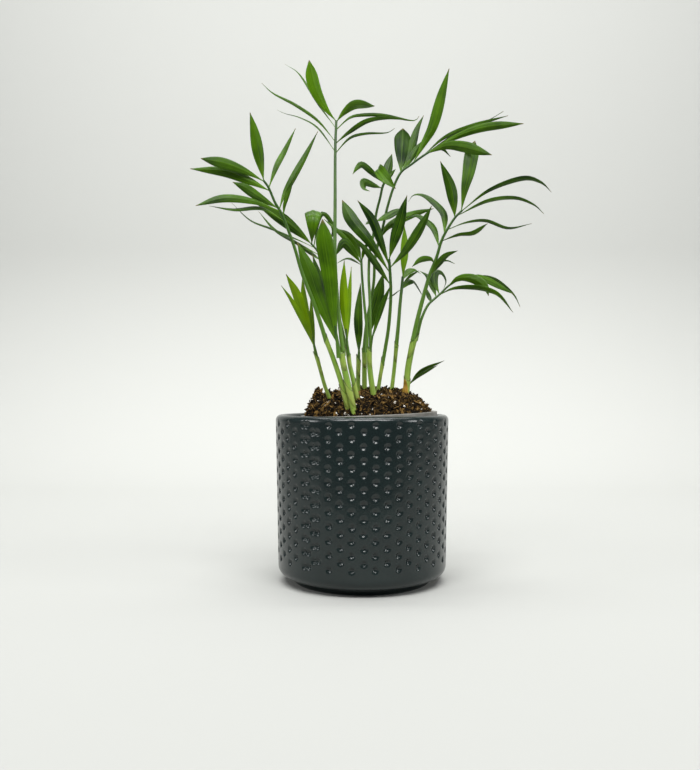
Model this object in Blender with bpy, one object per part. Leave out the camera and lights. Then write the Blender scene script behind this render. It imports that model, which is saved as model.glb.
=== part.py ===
"""Potted parlor palm: seedling palms in a nursery pot that stands in a ceramic cover pot.

World frame: metres, +Z up, +X to the plant's right, the front looks along -Y.
The origin is the centre of the cover pot's foot, on the surface that it stands on.
The sizes and tables below are in millimetres, and MM turns them into metres.
"""

import math

import bmesh
import bpy
from mathutils import Matrix, Vector

MM = 0.001
GAP = 0.3
SHARP_ANGLE = math.radians(35)
SPLINE_STEPS = 10

# ---- cover pot ----
POT_HEIGHT = 88.0
POT_RIM_RADIUS = 46.0
POT_BASE_RADIUS = 44.6
POT_WALL = 5.6
POT_FLOOR_TOP = 7.0
POT_CORNER_RADIUS = 5.5
FOOT_RADIUS = 36.5
FOOT_HEIGHT = 3.4
FOOT_CHAMFER = 0.8

# ---- dimples: upright columns pressed into the wall, every second one half a step lower ----
# The pattern is a mat that is wrapped round the pot, so its last columns overlap its first ones.
DIMPLE_COLUMNS = 50
DIMPLE_ROWS = 11
DIMPLE_SEAM = math.radians(-36.9)
DIMPLE_COLUMN_ANGLE = math.radians(7.43)
DIMPLE_TOP = 83.9
DIMPLE_PITCH = 7.0
DIMPLE_RADIUS = 1.85
DIMPLE_DEPTH = 0.95
DIMPLE_ROOM = 0.8
DIMPLE_CORNERS = (120, 180, 240, 300, 0, 60)
DIMPLE_BAND_TOP = 86.2

# ---- nursery pot: it leans, with its lip against the cover pot's right wall ----
LINER_TILT = math.radians(2.2)
LINER_RIM_RADIUS = 36.6
LINER_RIM_HEIGHT = 88.5
LINER_LIP_DEPTH = 8.0
LINER_LIP_STEP = 1.1
LINER_WALL = 1.0
LINER_BASE_RADIUS = 26.5
LINER_CORNER_RADIUS = 2.5
LINER_EDGE = 0.4
DRAIN_HOLES = 5
DRAIN_HOLE_RADIUS = 3.0
DRAIN_CIRCLE_RADIUS = 18.0
DRAIN_START = math.radians(20)
DRAIN_SEGMENTS = 12
LINER_SEGMENTS = 36

# ---- soil ----
SOIL_EDGE_DROP = 2.0
SOIL_MOUND = 14.0
SOIL_MOUND_POWER = 5.5
SOIL_RINGS = 8

# ---- canes: radius at the soil, radius at the top, points from the soil upwards ----
CANE_BURIED = 12.0
CANE_SIDES = 8
CANE_SPACING = 6.0
CANES = {
    "cane_1": (1.2, 1, (-17, -14, 96.5), (-19.5, -15, 103.5), (-22, -16, 112.5), (-24.5, -18, 120.5)),
    "cane_2": (1.5, 1.1, (-8, -28, 94), (-11, -28, 105.5), (-14.5, -28, 116), (-19, -28, 128)),
    "cane_3": (1.7, 1.6, (-5, -30.5, 93), (-7.5, -30, 104), (-9.5, -29.5, 113), (-11, -29, 120)),
    "cane_4": (1.4, 1.4, (-2, -25, 94), (-4.5, -24, 105), (-6.5, -23, 113.5), (-7.5, -22, 121)),
    "cane_5": (1.1, 1, (-2, 3, 102), (-2, 3, 112), (-2.5, 3, 120.5)),
    "cane_6": (1.45, 1.4, (1.5, 10, 102), (1.5, 10, 112), (1.5, 9, 124.5)),
    "cane_7": (1.5, 1.6, (6, -12, 98), (4.5, -12, 107), (3.5, -11.5, 116.5), (3.5, -11, 124)),
    "cane_8": (1.1, 0.9, (8.5, -3, 100.5), (10, -3, 109.5), (11, -3, 117)),
    "cane_9": (1.15, 1, (16, 1, 101), (17.5, 1, 114), (18.5, 0, 126.5)),
    "cane_10": (1.8, 1.8, (23.5, -5, 101), (24, -5, 111.5), (26, -5, 122), (28, -5, 130)),
}

# ---- leaves ----
# Each leaf grows from the top of a cane. "stalk" runs from inside the cane top to the leaf's end,
# and "leaflets" holds for each blade: how far below the end of the stalk it starts, its width, the
# share of its length at which it is widest, its roll about its own length in degrees (0 faces the
# front), and the points that it passes after its start, up to its tip.
BLADE_THICKNESS = 0.6
BLADE_FOLD = 0.10
BLADE_BASE_WIDTH = 0.6
BLADE_STATIONS = 8
BLADE_START_STEP = 0.35
STALK_SIDES = 6
STALK_SPACING = 7.0
STALK_SAMPLES = 60
STALK_ROOT = 2.0
LEAVES = {
    "frond_top": {
        "cane": "cane_3",
        "radii": (0.75, 0.4),
        "stalk": ((-11, -28, 120), (-12, -27, 131), (-13.5, -25.5, 146.5), (-14, -24, 168.5),
                  (-14, -20, 198), (-14, -16, 224.5), (-13.5, -14, 240.5)),
        "leaflets": (
            (0, 6.6, 0.55, 10, (-19, -16, 246.5), (-24.5, -18, 256.5), (-27.5, -20, 269)),
            (0, 4.6, 0.55, 20, (-9, -16, 244), (-3.5, -20, 245.5), (6, -27, 243.5)),
            (3, 3.4, 0.45, 60, (-22, -10, 249.5), (-33, -2, 269), (-41.5, 4, 277)),
            (10, 3.4, 0.40, 60, (-22.5, -20, 238.5), (-33.5, -26, 244.5), (-44.5, -31, 248.5), (-50, -34, 252.5)),
            (15, 3.2, 0.40, 62, (-23, -12, 237.5), (-32.5, -7, 244.5), (-41, -3, 248), (-45.5, 0, 251)),
            (3, 3.4, 0.40, 62, (-6.5, -10, 242), (11.5, -6, 245), (29, 0, 247)),
            (10, 4.4, 0.40, 55, (-5, -20, 234.5), (5, -26, 236.5), (22.5, -32, 235)),
            (15, 2.8, 0.40, 68, (-6.5, -12, 231.5), (2, -7, 236), (13, -2, 238), (18, 0, 241.5)),
        ),
    },
    "frond_left": {
        "cane": "cane_2",
        "radii": (0.7, 0.4),
        "stalk": ((-19, -28, 127.5), (-21, -28.5, 134), (-24.5, -30, 144.5), (-30, -33, 158.5),
                  (-34, -35, 172), (-39.5, -37, 186.5), (-43, -38, 192.5), (-46, -39, 199.5),
                  (-48.5, -39.5, 203)),
        "leaflets": (
            (0, 4.9, 0.50, 5, (-50.5, -41, 214), (-52.5, -42.5, 225.5), (-54.5, -44, 234.5)),
            (0, 4.3, 0.60, 10, (-56, -44, 205.5), (-64, -49, 207.5), (-76, -56, 209)),
            (5, 3.9, 0.50, 10, (-55.5, -42, 202.5), (-65.5, -46, 205), (-81.5, -53, 205)),
            (5, 3.4, 0.45, 20, (-44.5, -36, 209.5), (-40, -33, 220.5), (-33.5, -31, 231.5)),
            (14, 4.4, 0.36, 20, (-36, -34, 203), (-30, -31, 217), (-22.5, -28, 230.5)),
            (18, 1.8, 0.50, 20, (-38.5, -35, 193.5), (-36, -33, 200)),
            (13, 4.3, 0.60, 15, (-50.5, -43, 194.5), (-56, -47, 197), (-62, -50, 199.5)),
            (14, 4.0, 0.65, 20, (-53, -46, 191.5), (-66, -52, 191.5), (-76.5, -58, 187)),
            (19, 2.8, 0.35, 50, (-49, -42, 189), (-61.5, -48, 187), (-72.5, -53, 187)),
        ),
    },
    "frond_mid_left": {
        "cane": "cane_4",
        "radii": (0.7, 0.4),
        "stalk": ((-8, -21, 120.5), (-11, -18.5, 134.5), (-15.5, -16.5, 150.5), (-20, -14.5, 164),
                  (-23, -13.5, 172.5), (-26.5, -13, 177)),
        "leaflets": (
            (0, 8.6, 0.50, 0, (-25.5, -19, 185), (-25.5, -15, 193.5), (-26, -6, 194.5), (-26.5, 0, 188.5)),
            (0, 5.4, 0.55, 15, (-33, -18, 182.5), (-41.5, -23, 188.5), (-53, -30, 193.5)),
            (2, 2.2, 0.40, 50, (-33.5, -17, 178.5), (-46, -22, 183), (-56.5, -26, 186.5), (-65.5, -29, 194.5)),
            (6, 2.8, 0.40, 50, (-35, -14, 178), (-45.5, -13, 184.5), (-54, -12, 194)),
            (9, 3.0, 0.50, 40, (-28, -11.5, 173.5), (-35, -10, 177.5)),
        ),
    },
    "lobed_leaf": {
        "cane": "cane_3",
        "radii": (0.75, 0.7),
        "stalk": ((-12, -30, 119.5), (-12.5, -30.5, 122.5), (-12.5, -30.5, 124)),
        "leaflets": (
            (0, 8.0, 0.62, 0, (-15.5, -33.5, 150.5), (-18.5, -36.5, 167.5), (-20.5, -38, 184.5)),
            (0, 7.4, 0.55, 5, (-21.5, -26.5, 144.5), (-28, -24.5, 163.5), (-32.5, -23.5, 175)),
            (0, 6.2, 0.50, 0, (-17, -25.5, 142), (-21.5, -22.5, 156), (-26.5, -21, 169)),
        ),
    },
    "young_pair": {
        "cane": "cane_4",
        "radii": (0.65, 0.6),
        "stalk": ((-7.5, -23, 120.5), (-8, -23.5, 125), (-8.5, -24, 128)),
        "leaflets": (
            (0, 4.5, 0.55, 0, (-9.5, -25.5, 149), (-9.5, -27.5, 165.5)),
            (0, 2.8, 0.50, 30, (-7, -21, 144.5), (-5.5, -19, 164.5)),
        ),
    },
    "seedling_leaf": {
        "cane": "cane_1",
        "radii": (0.65, 0.5),
        "stalk": ((-24.5, -18, 120), (-26, -19, 125.5), (-27, -20, 129.5)),
        "leaflets": (
            (0, 4.8, 0.55, 5, (-31.5, -24, 141), (-35.5, -27, 150.5), (-38, -31, 159)),
            (0, 3.0, 0.50, 15, (-32, -28, 140), (-36, -31, 147), (-40.5, -35, 152.5)),
            (0, 3.4, 0.60, 10, (-29, -19, 142), (-30, -18, 151.5), (-31, -17, 160)),
            (0, 2.2, 0.50, 10, (-26, -17, 138.5), (-26, -16, 145), (-26.5, -15, 150)),
        ),
    },
    "upright_leaf": {
        "cane": "cane_5",
        "radii": (0.6, 0.5),
        "stalk": ((-2, 3, 120), (-2, 3, 122), (-2, 3, 123.5)),
        "leaflets": (
            (0, 3.4, 0.45, 0, (-2, 3, 136), (-1.5, 4, 148), (-0.5, 5, 159)),
        ),
    },
    "frond_small": {
        "cane": "cane_7",
        "radii": (0.65, 0.4),
        "stalk": ((3, -11.5, 123.5), (2.5, -11, 131), (1, -10, 147), (0, -9, 159.5), (-0.5, -8, 170)),
        "leaflets": (
            (0, 2.4, 0.50, 30, (-6.5, -9.5, 178), (-13, -10.5, 184.5), (-21, -8, 193)),
            (2, 4.4, 0.60, 10, (-5.5, -11, 174), (-9.5, -14, 177), (-13, -17, 171.5)),
            (0, 4.4, 0.60, 20, (-3, -6, 177.5), (-7.5, -6, 183), (-13, -6.5, 185.5)),
            (2, 1.6, 0.50, 60, (-7.5, -4, 170.5), (-14.5, 0, 168.5)),
            (0, 2.4, 0.50, 30, (1.5, -9, 175), (4, -10, 179.5)),
        ),
    },
    "frond_curled": {
        "cane": "cane_7",
        "radii": (0.65, 0.4),
        "stalk": ((4, -10.5, 123.5), (4, -10, 135), (4, -8, 148.5), (3.5, -6, 161), (4, -5, 173),
                  (6, -4, 183.5), (7.5, -4, 194.5), (9.5, -5, 202.5), (11, -5.5, 209), (13, -6, 212)),
        "leaflets": (
            (2, 4.2, 0.50, 20, (6.5, -9.5, 214), (0.5, -13, 218), (-2.5, -15, 216), (-5, -17, 212)),
            (1, 5.2, 0.50, 15, (9, -7, 215), (8.5, -11.5, 215), (12, -16, 210.5), (16.5, -19, 204.5)),
            (4, 3.8, 0.50, 20, (6.5, -9, 208.5), (2.5, -12, 209), (2, -14, 205.5), (5, -14.5, 204.5)),
            (0, 3.8, 0.50, 10, (14, -3, 219.5), (16, -1, 226)),
            (0, 2.4, 0.50, 30, (15.5, -3, 215.5), (18, -1, 219)),
            (21, 4.4, 0.55, 10, (14, -1, 193.5), (18, 0, 195.5), (22.5, 2, 199)),
            (23, 3.2, 0.50, 20, (4.5, -2, 189.5), (1, -1, 186.5)),
        ),
    },
    "frond_tall_right": {
        "cane": "cane_6",
        "radii": (0.65, 0.4),
        "stalk": ((1.5, 9, 123.5), (2.5, 8.5, 136.5), (4.5, 8, 147.5), (6.5, 7, 159.5), (7, 6, 170.5),
                  (8.5, 5, 179), (11, 4, 187.5), (13.5, 3, 198.5), (17, 3, 210), (21, 2, 218),
                  (26.5, 1, 222), (31.5, 0, 225.5), (36.5, -1, 228.5)),
        "leaflets": (
            (19, 6.8, 0.60, 0, (20.5, 4, 226.5), (21, 5, 235), (22, 6, 245)),
            (18, 4.8, 0.50, 0, (24, 5, 230), (27, 7, 241.5), (34, 9, 251.5)),
            (5, 4.9, 0.50, 5, (37.5, -1, 241), (42.5, -2, 255.5), (46.5, -4, 271.5)),
            (0, 3.7, 0.60, 15, (49.5, -4, 235), (64.5, -9, 238.5), (83.5, -14, 239)),
            (3, 2.4, 0.55, 30, (44.5, 1, 236.5), (59, 1, 242.5), (78, -1, 247.5)),
            (0, 4.7, 0.60, 10, (43, -7, 229.5), (53.5, -14, 227.5), (66, -20, 221)),
            (0, 1.8, 0.50, 50, (43, 5, 231.5), (48.5, 9, 228.5)),
            (12, 2.8, 0.50, 10, (28.5, 4, 229.5), (32.5, 6, 236)),
            (54, 4.3, 0.55, 10, (14, 6.5, 189), (22, 8.5, 194), (36.5, 12, 199.5)),
        ),
    },
    "leaf_behind": {
        "cane": "cane_6",
        "radii": (0.65, 0.5),
        "stalk": ((2, 10, 123.5), (2.5, 10.5, 128), (3.5, 11, 131)),
        "leaflets": (
            (0, 5.0, 0.60, 0, (6, 11.5, 140.5), (9, 12.5, 151.5), (12, 13.5, 165.5)),
        ),
    },
    "leaf_blade_right": {
        "cane": "cane_7",
        "radii": (0.65, 0.5),
        "stalk": ((4, -12.5, 123), (4.5, -13, 126.5), (5, -13.5, 129)),
        "leaflets": (
            (0, 4.2, 0.60, 10, (7, -14, 136), (10, -14.5, 145), (13, -15, 156)),
        ),
    },
    "frond_centre": {
        "cane": "cane_8",
        "radii": (0.75, 0.45),
        "stalk": ((11, -3, 116.5), (12.5, -3.5, 124), (14, -5, 134), (15, -6.5, 147), (15, -8, 156),
                  (14.5, -9, 164), (14, -10, 169.5)),
        "leaflets": (
            (0, 5.6, 0.50, 5, (16, -12, 176.5), (19, -13.5, 186), (21, -15, 195), (23, -16, 201.5)),
            (4, 5.0, 0.55, 5, (22.5, -13, 173.5), (29.5, -16.5, 183.5), (35.5, -20, 195)),
            (3, 4.5, 0.60, 5, (9.5, -13, 178.5), (5, -16, 189), (-2.5, -19, 198)),
            (6, 7.0, 0.70, 10, (4, -16.5, 177), (-5.5, -20.5, 188), (-10.5, -24, 197)),
            (12, 3.8, 0.50, 20, (8.5, -15, 164.5), (2, -19, 172.5), (-5, -24, 179)),
        ),
    },
    "frond_behind": {
        "cane": "cane_9",
        "radii": (0.75, 0.45),
        "stalk": ((18.5, 0, 126), (19.5, 0, 136), (20.5, 1, 147.5), (21.5, 2, 156.5), (22, 2.5, 162)),
        "leaflets": (
            (0, 4.2, 0.50, 0, (23, 3, 175.5), (23, 4, 189.5)),
            (1, 3.6, 0.50, 25, (25, 7, 165), (28.5, 10, 166.5), (32.5, 14, 166)),
            (6, 3.4, 0.50, 30, (25.5, 8, 159), (30, 13, 158.5), (34.5, 18, 152.5)),
            (3, 1.8, 0.50, 60, (26, 3, 162), (31, 4, 165.5)),
            (5, 1.8, 0.50, 60, (18, 6, 153.5), (13.5, 11, 150.5)),
        ),
    },
    "frond_right": {
        "cane": "cane_10",
        "radii": (0.8, 0.45),
        "stalk": ((27.5, -6, 129.5), (29.5, -6.5, 139.5), (32.5, -6.5, 151), (35.5, -7.5, 161.5),
                  (39, -8.5, 170.5), (41.5, -9.5, 179), (44.5, -10.5, 185), (48.5, -11.5, 191),
                  (52, -12, 194.5)),
        "leaflets": (
            (5, 5.6, 0.42, 5, (47.5, -12.5, 199.5), (46, -13, 208), (40.5, -14, 219.5)),
            (0, 7.2, 0.58, 5, (54.5, -11, 204.5), (57, -8, 219), (60, -4, 233.5)),
            (0, 3.1, 0.65, 35, (65.5, -18, 204), (79.5, -27, 206.5), (92.5, -36, 198)),
            (3, 2.8, 0.45, 60, (65.5, -8, 200), (81.5, -3, 203), (98, 3, 196)),
            (11, 2.4, 0.40, 58, (55, -5, 189.5), (66.5, 0, 191.5), (79.5, 5, 188.5), (93.5, 12, 192.5)),
            (17, 2.8, 0.65, 40, (49.5, -15, 181), (56.5, -20, 181), (63, -25, 185)),
            (13, 4.6, 0.50, 10, (42, -5, 192), (36.5, 0, 201.5), (30.5, 4, 206.5), (25.5, 8, 204.5)),
            (20, 3.8, 0.50, 15, (37.5, -5, 185), (34, -2, 190), (29.5, 2, 196)),
            (31, 2.8, 0.45, 25, (41.5, -11, 169.5), (45, -14, 171.5), (50, -18, 172.5)),
            (29, 3.0, 0.50, 20, (33.5, -12, 167.5), (26, -16, 164.5)),
        ),
    },
    "frond_right_low": {
        "cane": "cane_10",
        "radii": (0.75, 0.45),
        "stalk": ((29, -4, 129.5), (31.5, -3, 138.5), (35, -1.5, 146), (38.5, -0.5, 149.5),
                  (42.5, 0.5, 153), (46, 1, 156.5), (50.5, 2, 159.5)),
        "leaflets": (
            (11, 2.8, 0.45, 40, (51, -6, 154.5), (61.5, -11, 154), (70, -15, 149), (77.5, -20, 140)),
            (5, 4.7, 0.62, 15, (54, 5, 160.5), (62.5, 9, 159.5), (70, 14, 152.5)),
            (3, 3.5, 0.60, 30, (58.5, -3, 160.5), (68.5, -8, 157.5), (78.5, -12, 150)),
            (0, 2.4, 0.50, 45, (63.5, 8, 162), (76.5, 14, 160.5), (88.5, 20, 147.5)),
            (5, 4.2, 0.50, 15, (46.5, 7, 162), (42.5, 11, 165), (40, 14, 161.5), (39.5, 15, 156.5)),
            (11, 3.4, 0.50, 15, (38, 6, 158.5), (36, 9, 163.5), (32, 12, 166.5)),
            (16, 2.2, 0.50, 20, (36.5, 3, 150), (35.5, 6, 147)),
        ),
    },
}

# The small leaf low on the right comes out of the soil beside the thickest cane.
BASAL_LEAF = {
    "radii": (0.5, 0.4),
    "stalk": ((24, -1, 92), (24, -1, 100), (26, -2, 106), (29, -4.5, 108)),
    "leaflets": (
        (0, 2.2, 0.50, 35, (34.5, -8, 111.5), (42, -13, 116)),
        (0, 1.8, 0.50, 35, (35.5, -3.5, 111), (41.5, -1, 113.5)),
    ),
}

# ---- dry sheath: a curved scale at the foot of the thickest cane ----
SHEATH_CANE = "cane_10"
SHEATH_START = 0.5
SHEATH_HEIGHT = 8.0
SHEATH_THICKNESS = 0.6
SHEATH_HALF_ANGLE = math.radians(80)
SHEATH_FACES = math.radians(222)
SHEATH_FLARE = 1.2
SHEATH_LEVELS = 5
SHEATH_STEPS = 6

COLOURS = {
    "slate_glaze": ((0.028, 0.042, 0.045), 0.22),
    "grey_plastic": ((0.21, 0.20, 0.18), 0.5),
    "potting_soil": ((0.045, 0.024, 0.012), 0.95),
    "cane_green": ((0.30, 0.46, 0.10), 0.5),
    "leaf_green": ((0.05, 0.19, 0.012), 0.45),
    "young_leaf_green": ((0.21, 0.38, 0.012), 0.45),
    "dry_sheath_brown": ((0.25, 0.14, 0.03), 0.8),
}
YOUNG_LEAVES = ("young_pair", "seedling_leaf")


def clear_scene():
    for leftover in list(bpy.data.objects):
        bpy.data.objects.remove(leftover, do_unlink=True)


def new_object(name, mesh):
    made = bpy.data.objects.new(name, mesh)
    bpy.context.scene.collection.objects.link(made)
    return made


def finish(thing, look):
    """Give a piece its own material, and smooth shading with crisp edges."""
    colour, roughness = COLOURS[look]
    own = bpy.data.materials.new(thing.name + "_" + look)
    own.use_nodes = True
    surface = own.node_tree.nodes["Principled BSDF"]
    surface.inputs["Base Color"].default_value = (*colour, 1.0)
    surface.inputs["Roughness"].default_value = roughness
    thing.data.materials.clear()
    thing.data.materials.append(own)
    thing.data.shade_smooth()
    thing.data.set_sharp_from_angle(angle=SHARP_ANGLE)
    return thing


def add_loop(built, radius, height, turns):
    """A ring of vertices about Z, or one vertex on the axis; 0 looks along -Y."""
    if radius == 0:
        return [built.verts.new((0, 0, height * MM))]
    across = radius * MM
    return [
        built.verts.new((across * math.sin(turn), -across * math.cos(turn), height * MM))
        for turn in turns
    ]


def join_loops(built, lower, upper):
    """Faces between two rings, either of which may be one vertex on the axis."""
    for i in range(max(len(lower), len(upper))):
        j = i + 1
        corners = [lower[i % len(lower)], lower[j % len(lower)]]
        corners += [upper[j % len(upper)], upper[i % len(upper)]]
        built.faces.new(list(dict.fromkeys(corners)))


def solid_mesh(built, name):
    bmesh.ops.triangulate(built, faces=built.faces)
    bmesh.ops.recalc_face_normals(built, faces=built.faces)
    mesh = bpy.data.meshes.new(name)
    built.to_mesh(mesh)
    built.free()
    return mesh


def mesh_from_rings(name, rings, closed_tip=None):
    """A closed mesh through rings of points: flat ends, or a point at the far end."""
    built = bmesh.new()
    loops = [[built.verts.new(point) for point in ring] for ring in rings]
    for lower, upper in zip(loops, loops[1:]):
        join_loops(built, lower, upper)
    built.faces.new(list(reversed(loops[0])))
    if closed_tip is None:
        built.faces.new(loops[-1])
    else:
        join_loops(built, loops[-1], [built.verts.new(closed_tip)])
    return solid_mesh(built, name)


def turned_mesh(name, profile, segments):
    """A solid of revolution about Z; the profile starts and ends on the axis, in millimetres."""
    built = bmesh.new()
    turns = [2 * math.pi * i / segments for i in range(segments)]
    loops = [add_loop(built, radius, height, turns) for radius, height in profile]
    for lower, upper in zip(loops, loops[1:]):
        join_loops(built, lower, upper)
    return solid_mesh(built, name)


def arc(centre, radius, start, end, steps):
    """Points on an arc in the (radius, height) plane, angles in degrees."""
    points = []
    for i in range(steps + 1):
        angle = math.radians(start + (end - start) * i / steps)
        points.append((centre[0] + radius * math.cos(angle), centre[1] + radius * math.sin(angle)))
    return points


def boolean(target, tool, operation):
    """Cut or join with the exact solver, keep the result as the mesh and drop the tool."""
    cut = target.modifiers.new(operation.title(), "BOOLEAN")
    cut.operation = operation
    cut.solver = "EXACT"
    cut.object = tool
    evaluated = target.evaluated_get(bpy.context.evaluated_depsgraph_get())
    result = bpy.data.meshes.new_from_object(evaluated)
    target.modifiers.remove(cut)
    result.name = target.data.name
    target.data = result
    bpy.data.objects.remove(tool, do_unlink=True)


def smooth_path(points, count):
    """Points evenly spread along a Catmull-Rom curve through the given ones."""
    knots = [Vector(point) * MM for point in points]
    padded = [knots[0] * 2 - knots[1], *knots, knots[-1] * 2 - knots[-2]]
    dense = []
    for before, start, end, after in zip(padded, padded[1:], padded[2:], padded[3:]):
        for step in range(SPLINE_STEPS):
            t = step / SPLINE_STEPS
            dense.append(0.5 * (
                2 * start + (end - before) * t
                + (2 * before - 5 * start + 4 * end - after) * t ** 2
                + (3 * start - before - 3 * end + after) * t ** 3
            ))
    dense.append(knots[-1])
    lengths = [0.0]
    for here, there in zip(dense, dense[1:]):
        lengths.append(lengths[-1] + (there - here).length)
    spread = []
    leg = 0
    for i in range(count):
        goal = lengths[-1] * i / (count - 1)
        while leg < len(dense) - 2 and lengths[leg + 1] < goal:
            leg += 1
        part = (goal - lengths[leg]) / (lengths[leg + 1] - lengths[leg])
        spread.append(dense[leg].lerp(dense[leg + 1], part))
    return spread


def frames(path, roll):
    """Side and upper direction at each point, carried along without extra twist."""
    result = []
    upper = None
    for i, point in enumerate(path):
        tangent = (path[min(i + 1, len(path) - 1)] - path[max(i - 1, 0)]).normalized()
        if upper is None:
            upper = Vector((0, -1, 0))
            upper.rotate(Matrix.Rotation(math.radians(roll), 3, tangent))
        upper = (upper - tangent * upper.dot(tangent)).normalized()
        result.append((point, tangent.cross(upper), upper.copy()))
    return result


def tube_mesh(name, points, radii, sides, spacing):
    """A round stem, in millimetres, that tapers from the first radius to the last."""
    length = sum(math.dist(here, there) for here, there in zip(points, points[1:]))
    path = smooth_path(points, max(3, round(length / spacing) + 1))
    rings = []
    for i, (point, side, upper) in enumerate(frames(path, 0)):
        radius = (radii[0] + (radii[1] - radii[0]) * i / (len(path) - 1)) * MM
        rings.append([
            point + radius * (side * math.cos(a) + upper * math.sin(a))
            for a in (2 * math.pi * k / sides for k in range(sides))
        ])
    return mesh_from_rings(name, rings)


def blade_width(t, belly):
    """Share of the full width along a lance-shaped blade that is widest at the belly."""
    return math.sin(math.pi * t ** (math.log(0.5) / math.log(belly))) ** 0.9


def blade_mesh(name, points, width, belly, roll):
    """One leaflet: a thin closed blade with a raised midrib, from its start to its tip."""
    path = smooth_path(points, BLADE_STATIONS)
    rings = []
    for i, (point, side, upper) in enumerate(frames(path, roll)[:-1]):
        share = blade_width(i / (BLADE_STATIONS - 1), belly)
        half = max(width * share, BLADE_BASE_WIDTH) / 2 * MM
        fold = BLADE_FOLD * width * share * MM
        thick = BLADE_THICKNESS / 2 * MM
        rings.append([
            point - side * half,
            point + upper * (fold - thick),
            point + side * half,
            point + upper * (fold + thick),
        ])
    return mesh_from_rings(name, rings, path[-1])


def lengthened(points, start, end):
    """The same path, in millimetres, with a straight piece added before and after it."""
    path = [Vector(point) for point in points]
    if start:
        path.insert(0, path[0] + (path[0] - path[1]).normalized() * start)
    if end:
        path.append(path[-1] + (path[-1] - path[-2]).normalized() * end)
    return path


def point_below_end(points, distance):
    """The place on a stalk at a distance below its end, in millimetres."""
    backwards = [point / MM for point in reversed(smooth_path(points, STALK_SAMPLES))]
    left = distance
    for here, there in zip(backwards, backwards[1:]):
        length = (there - here).length
        if left <= length:
            return here.lerp(there, left / length)
        left -= length
    return backwards[-1]


def cane_tube(name, clearance=0.0):
    bottom, top, *points = CANES[name]
    path = lengthened(points, CANE_BURIED + clearance, clearance)
    radii = (bottom + clearance, top + clearance)
    return tube_mesh(name, path, radii, CANE_SIDES, CANE_SPACING)


def make_leaf(name, leaf, root_length):
    """Stalk and blades of one leaf, joined to one closed body."""
    stalk = lengthened(leaf["stalk"], root_length, 0)
    body = new_object(name, tube_mesh(name, stalk, leaf["radii"], STALK_SIDES, STALK_SPACING))
    for i, (below, width, belly, roll, *points) in enumerate(leaf["leaflets"]):
        start = point_below_end(leaf["stalk"], below + (i + 1) * BLADE_START_STEP)
        blade = new_object("blade", blade_mesh("blade", [start, *points], width, belly, roll))
        boolean(body, blade, "UNION")
    return finish(body, "young_leaf_green" if name in YOUNG_LEAVES else "leaf_green")


def pot_wall_radius(height):
    """Outer radius of the cover pot: a slight taper, then the rounding of the rim."""
    rim = POT_WALL / 2
    wall_top = POT_HEIGHT - rim
    if height > wall_top:
        return POT_RIM_RADIUS - rim + math.sqrt(rim ** 2 - (height - wall_top) ** 2)
    wall_bottom = FOOT_HEIGHT + POT_CORNER_RADIUS
    share = (height - wall_bottom) / (wall_top - wall_bottom)
    return POT_BASE_RADIUS + (POT_RIM_RADIUS - POT_BASE_RADIUS) * share


def press_dimple(built, left, right, lines, turn):
    """A six-sided pit in the cell between three vertices on its left and three on its right."""
    height = left[1].co.z / MM
    radius = pot_wall_radius(height)
    rooms = [abs(line - turn) * radius * DIMPLE_ROOM for line in lines]
    ring = []
    for corner in map(math.radians, DIMPLE_CORNERS):
        room = rooms[0] if math.cos(corner) < 0 else rooms[1]
        aside = math.cos(corner) * min(DIMPLE_RADIUS, room) / radius
        level = height + math.sin(corner) * DIMPLE_RADIUS
        ring += add_loop(built, pot_wall_radius(level), level, [turn + aside])
    join_loops(built, [*left, *reversed(right)], ring)
    join_loops(built, ring, add_loop(built, radius - DIMPLE_DEPTH, height, [turn]))


def make_dimpled_wall(built, columns, lines):
    """The wall as upright strips of cells; returns its lowest and its highest ring."""
    levels = [DIMPLE_BAND_TOP]
    levels += [DIMPLE_TOP - DIMPLE_PITCH / 2 * i for i in range(2 * DIMPLE_ROWS)]
    rings = [add_loop(built, pot_wall_radius(level), level, lines) for level in levels]
    for i, (turn, odd) in enumerate(columns):
        left = [ring[i - 1] for ring in rings]
        right = [ring[i] for ring in rings]
        beside = (lines[i - 1] - (2 * math.pi if i == 0 else 0), lines[i])
        for row in range(DIMPLE_ROWS - odd):
            top = odd + 2 * row
            press_dimple(built, left[top:top + 3], right[top:top + 3], beside, turn)
        if odd:
            built.faces.new((left[0], left[1], right[1], right[0]))
            built.faces.new((left[-2], left[-1], right[-1], right[-2]))
    return rings[-1], rings[0]


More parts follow.
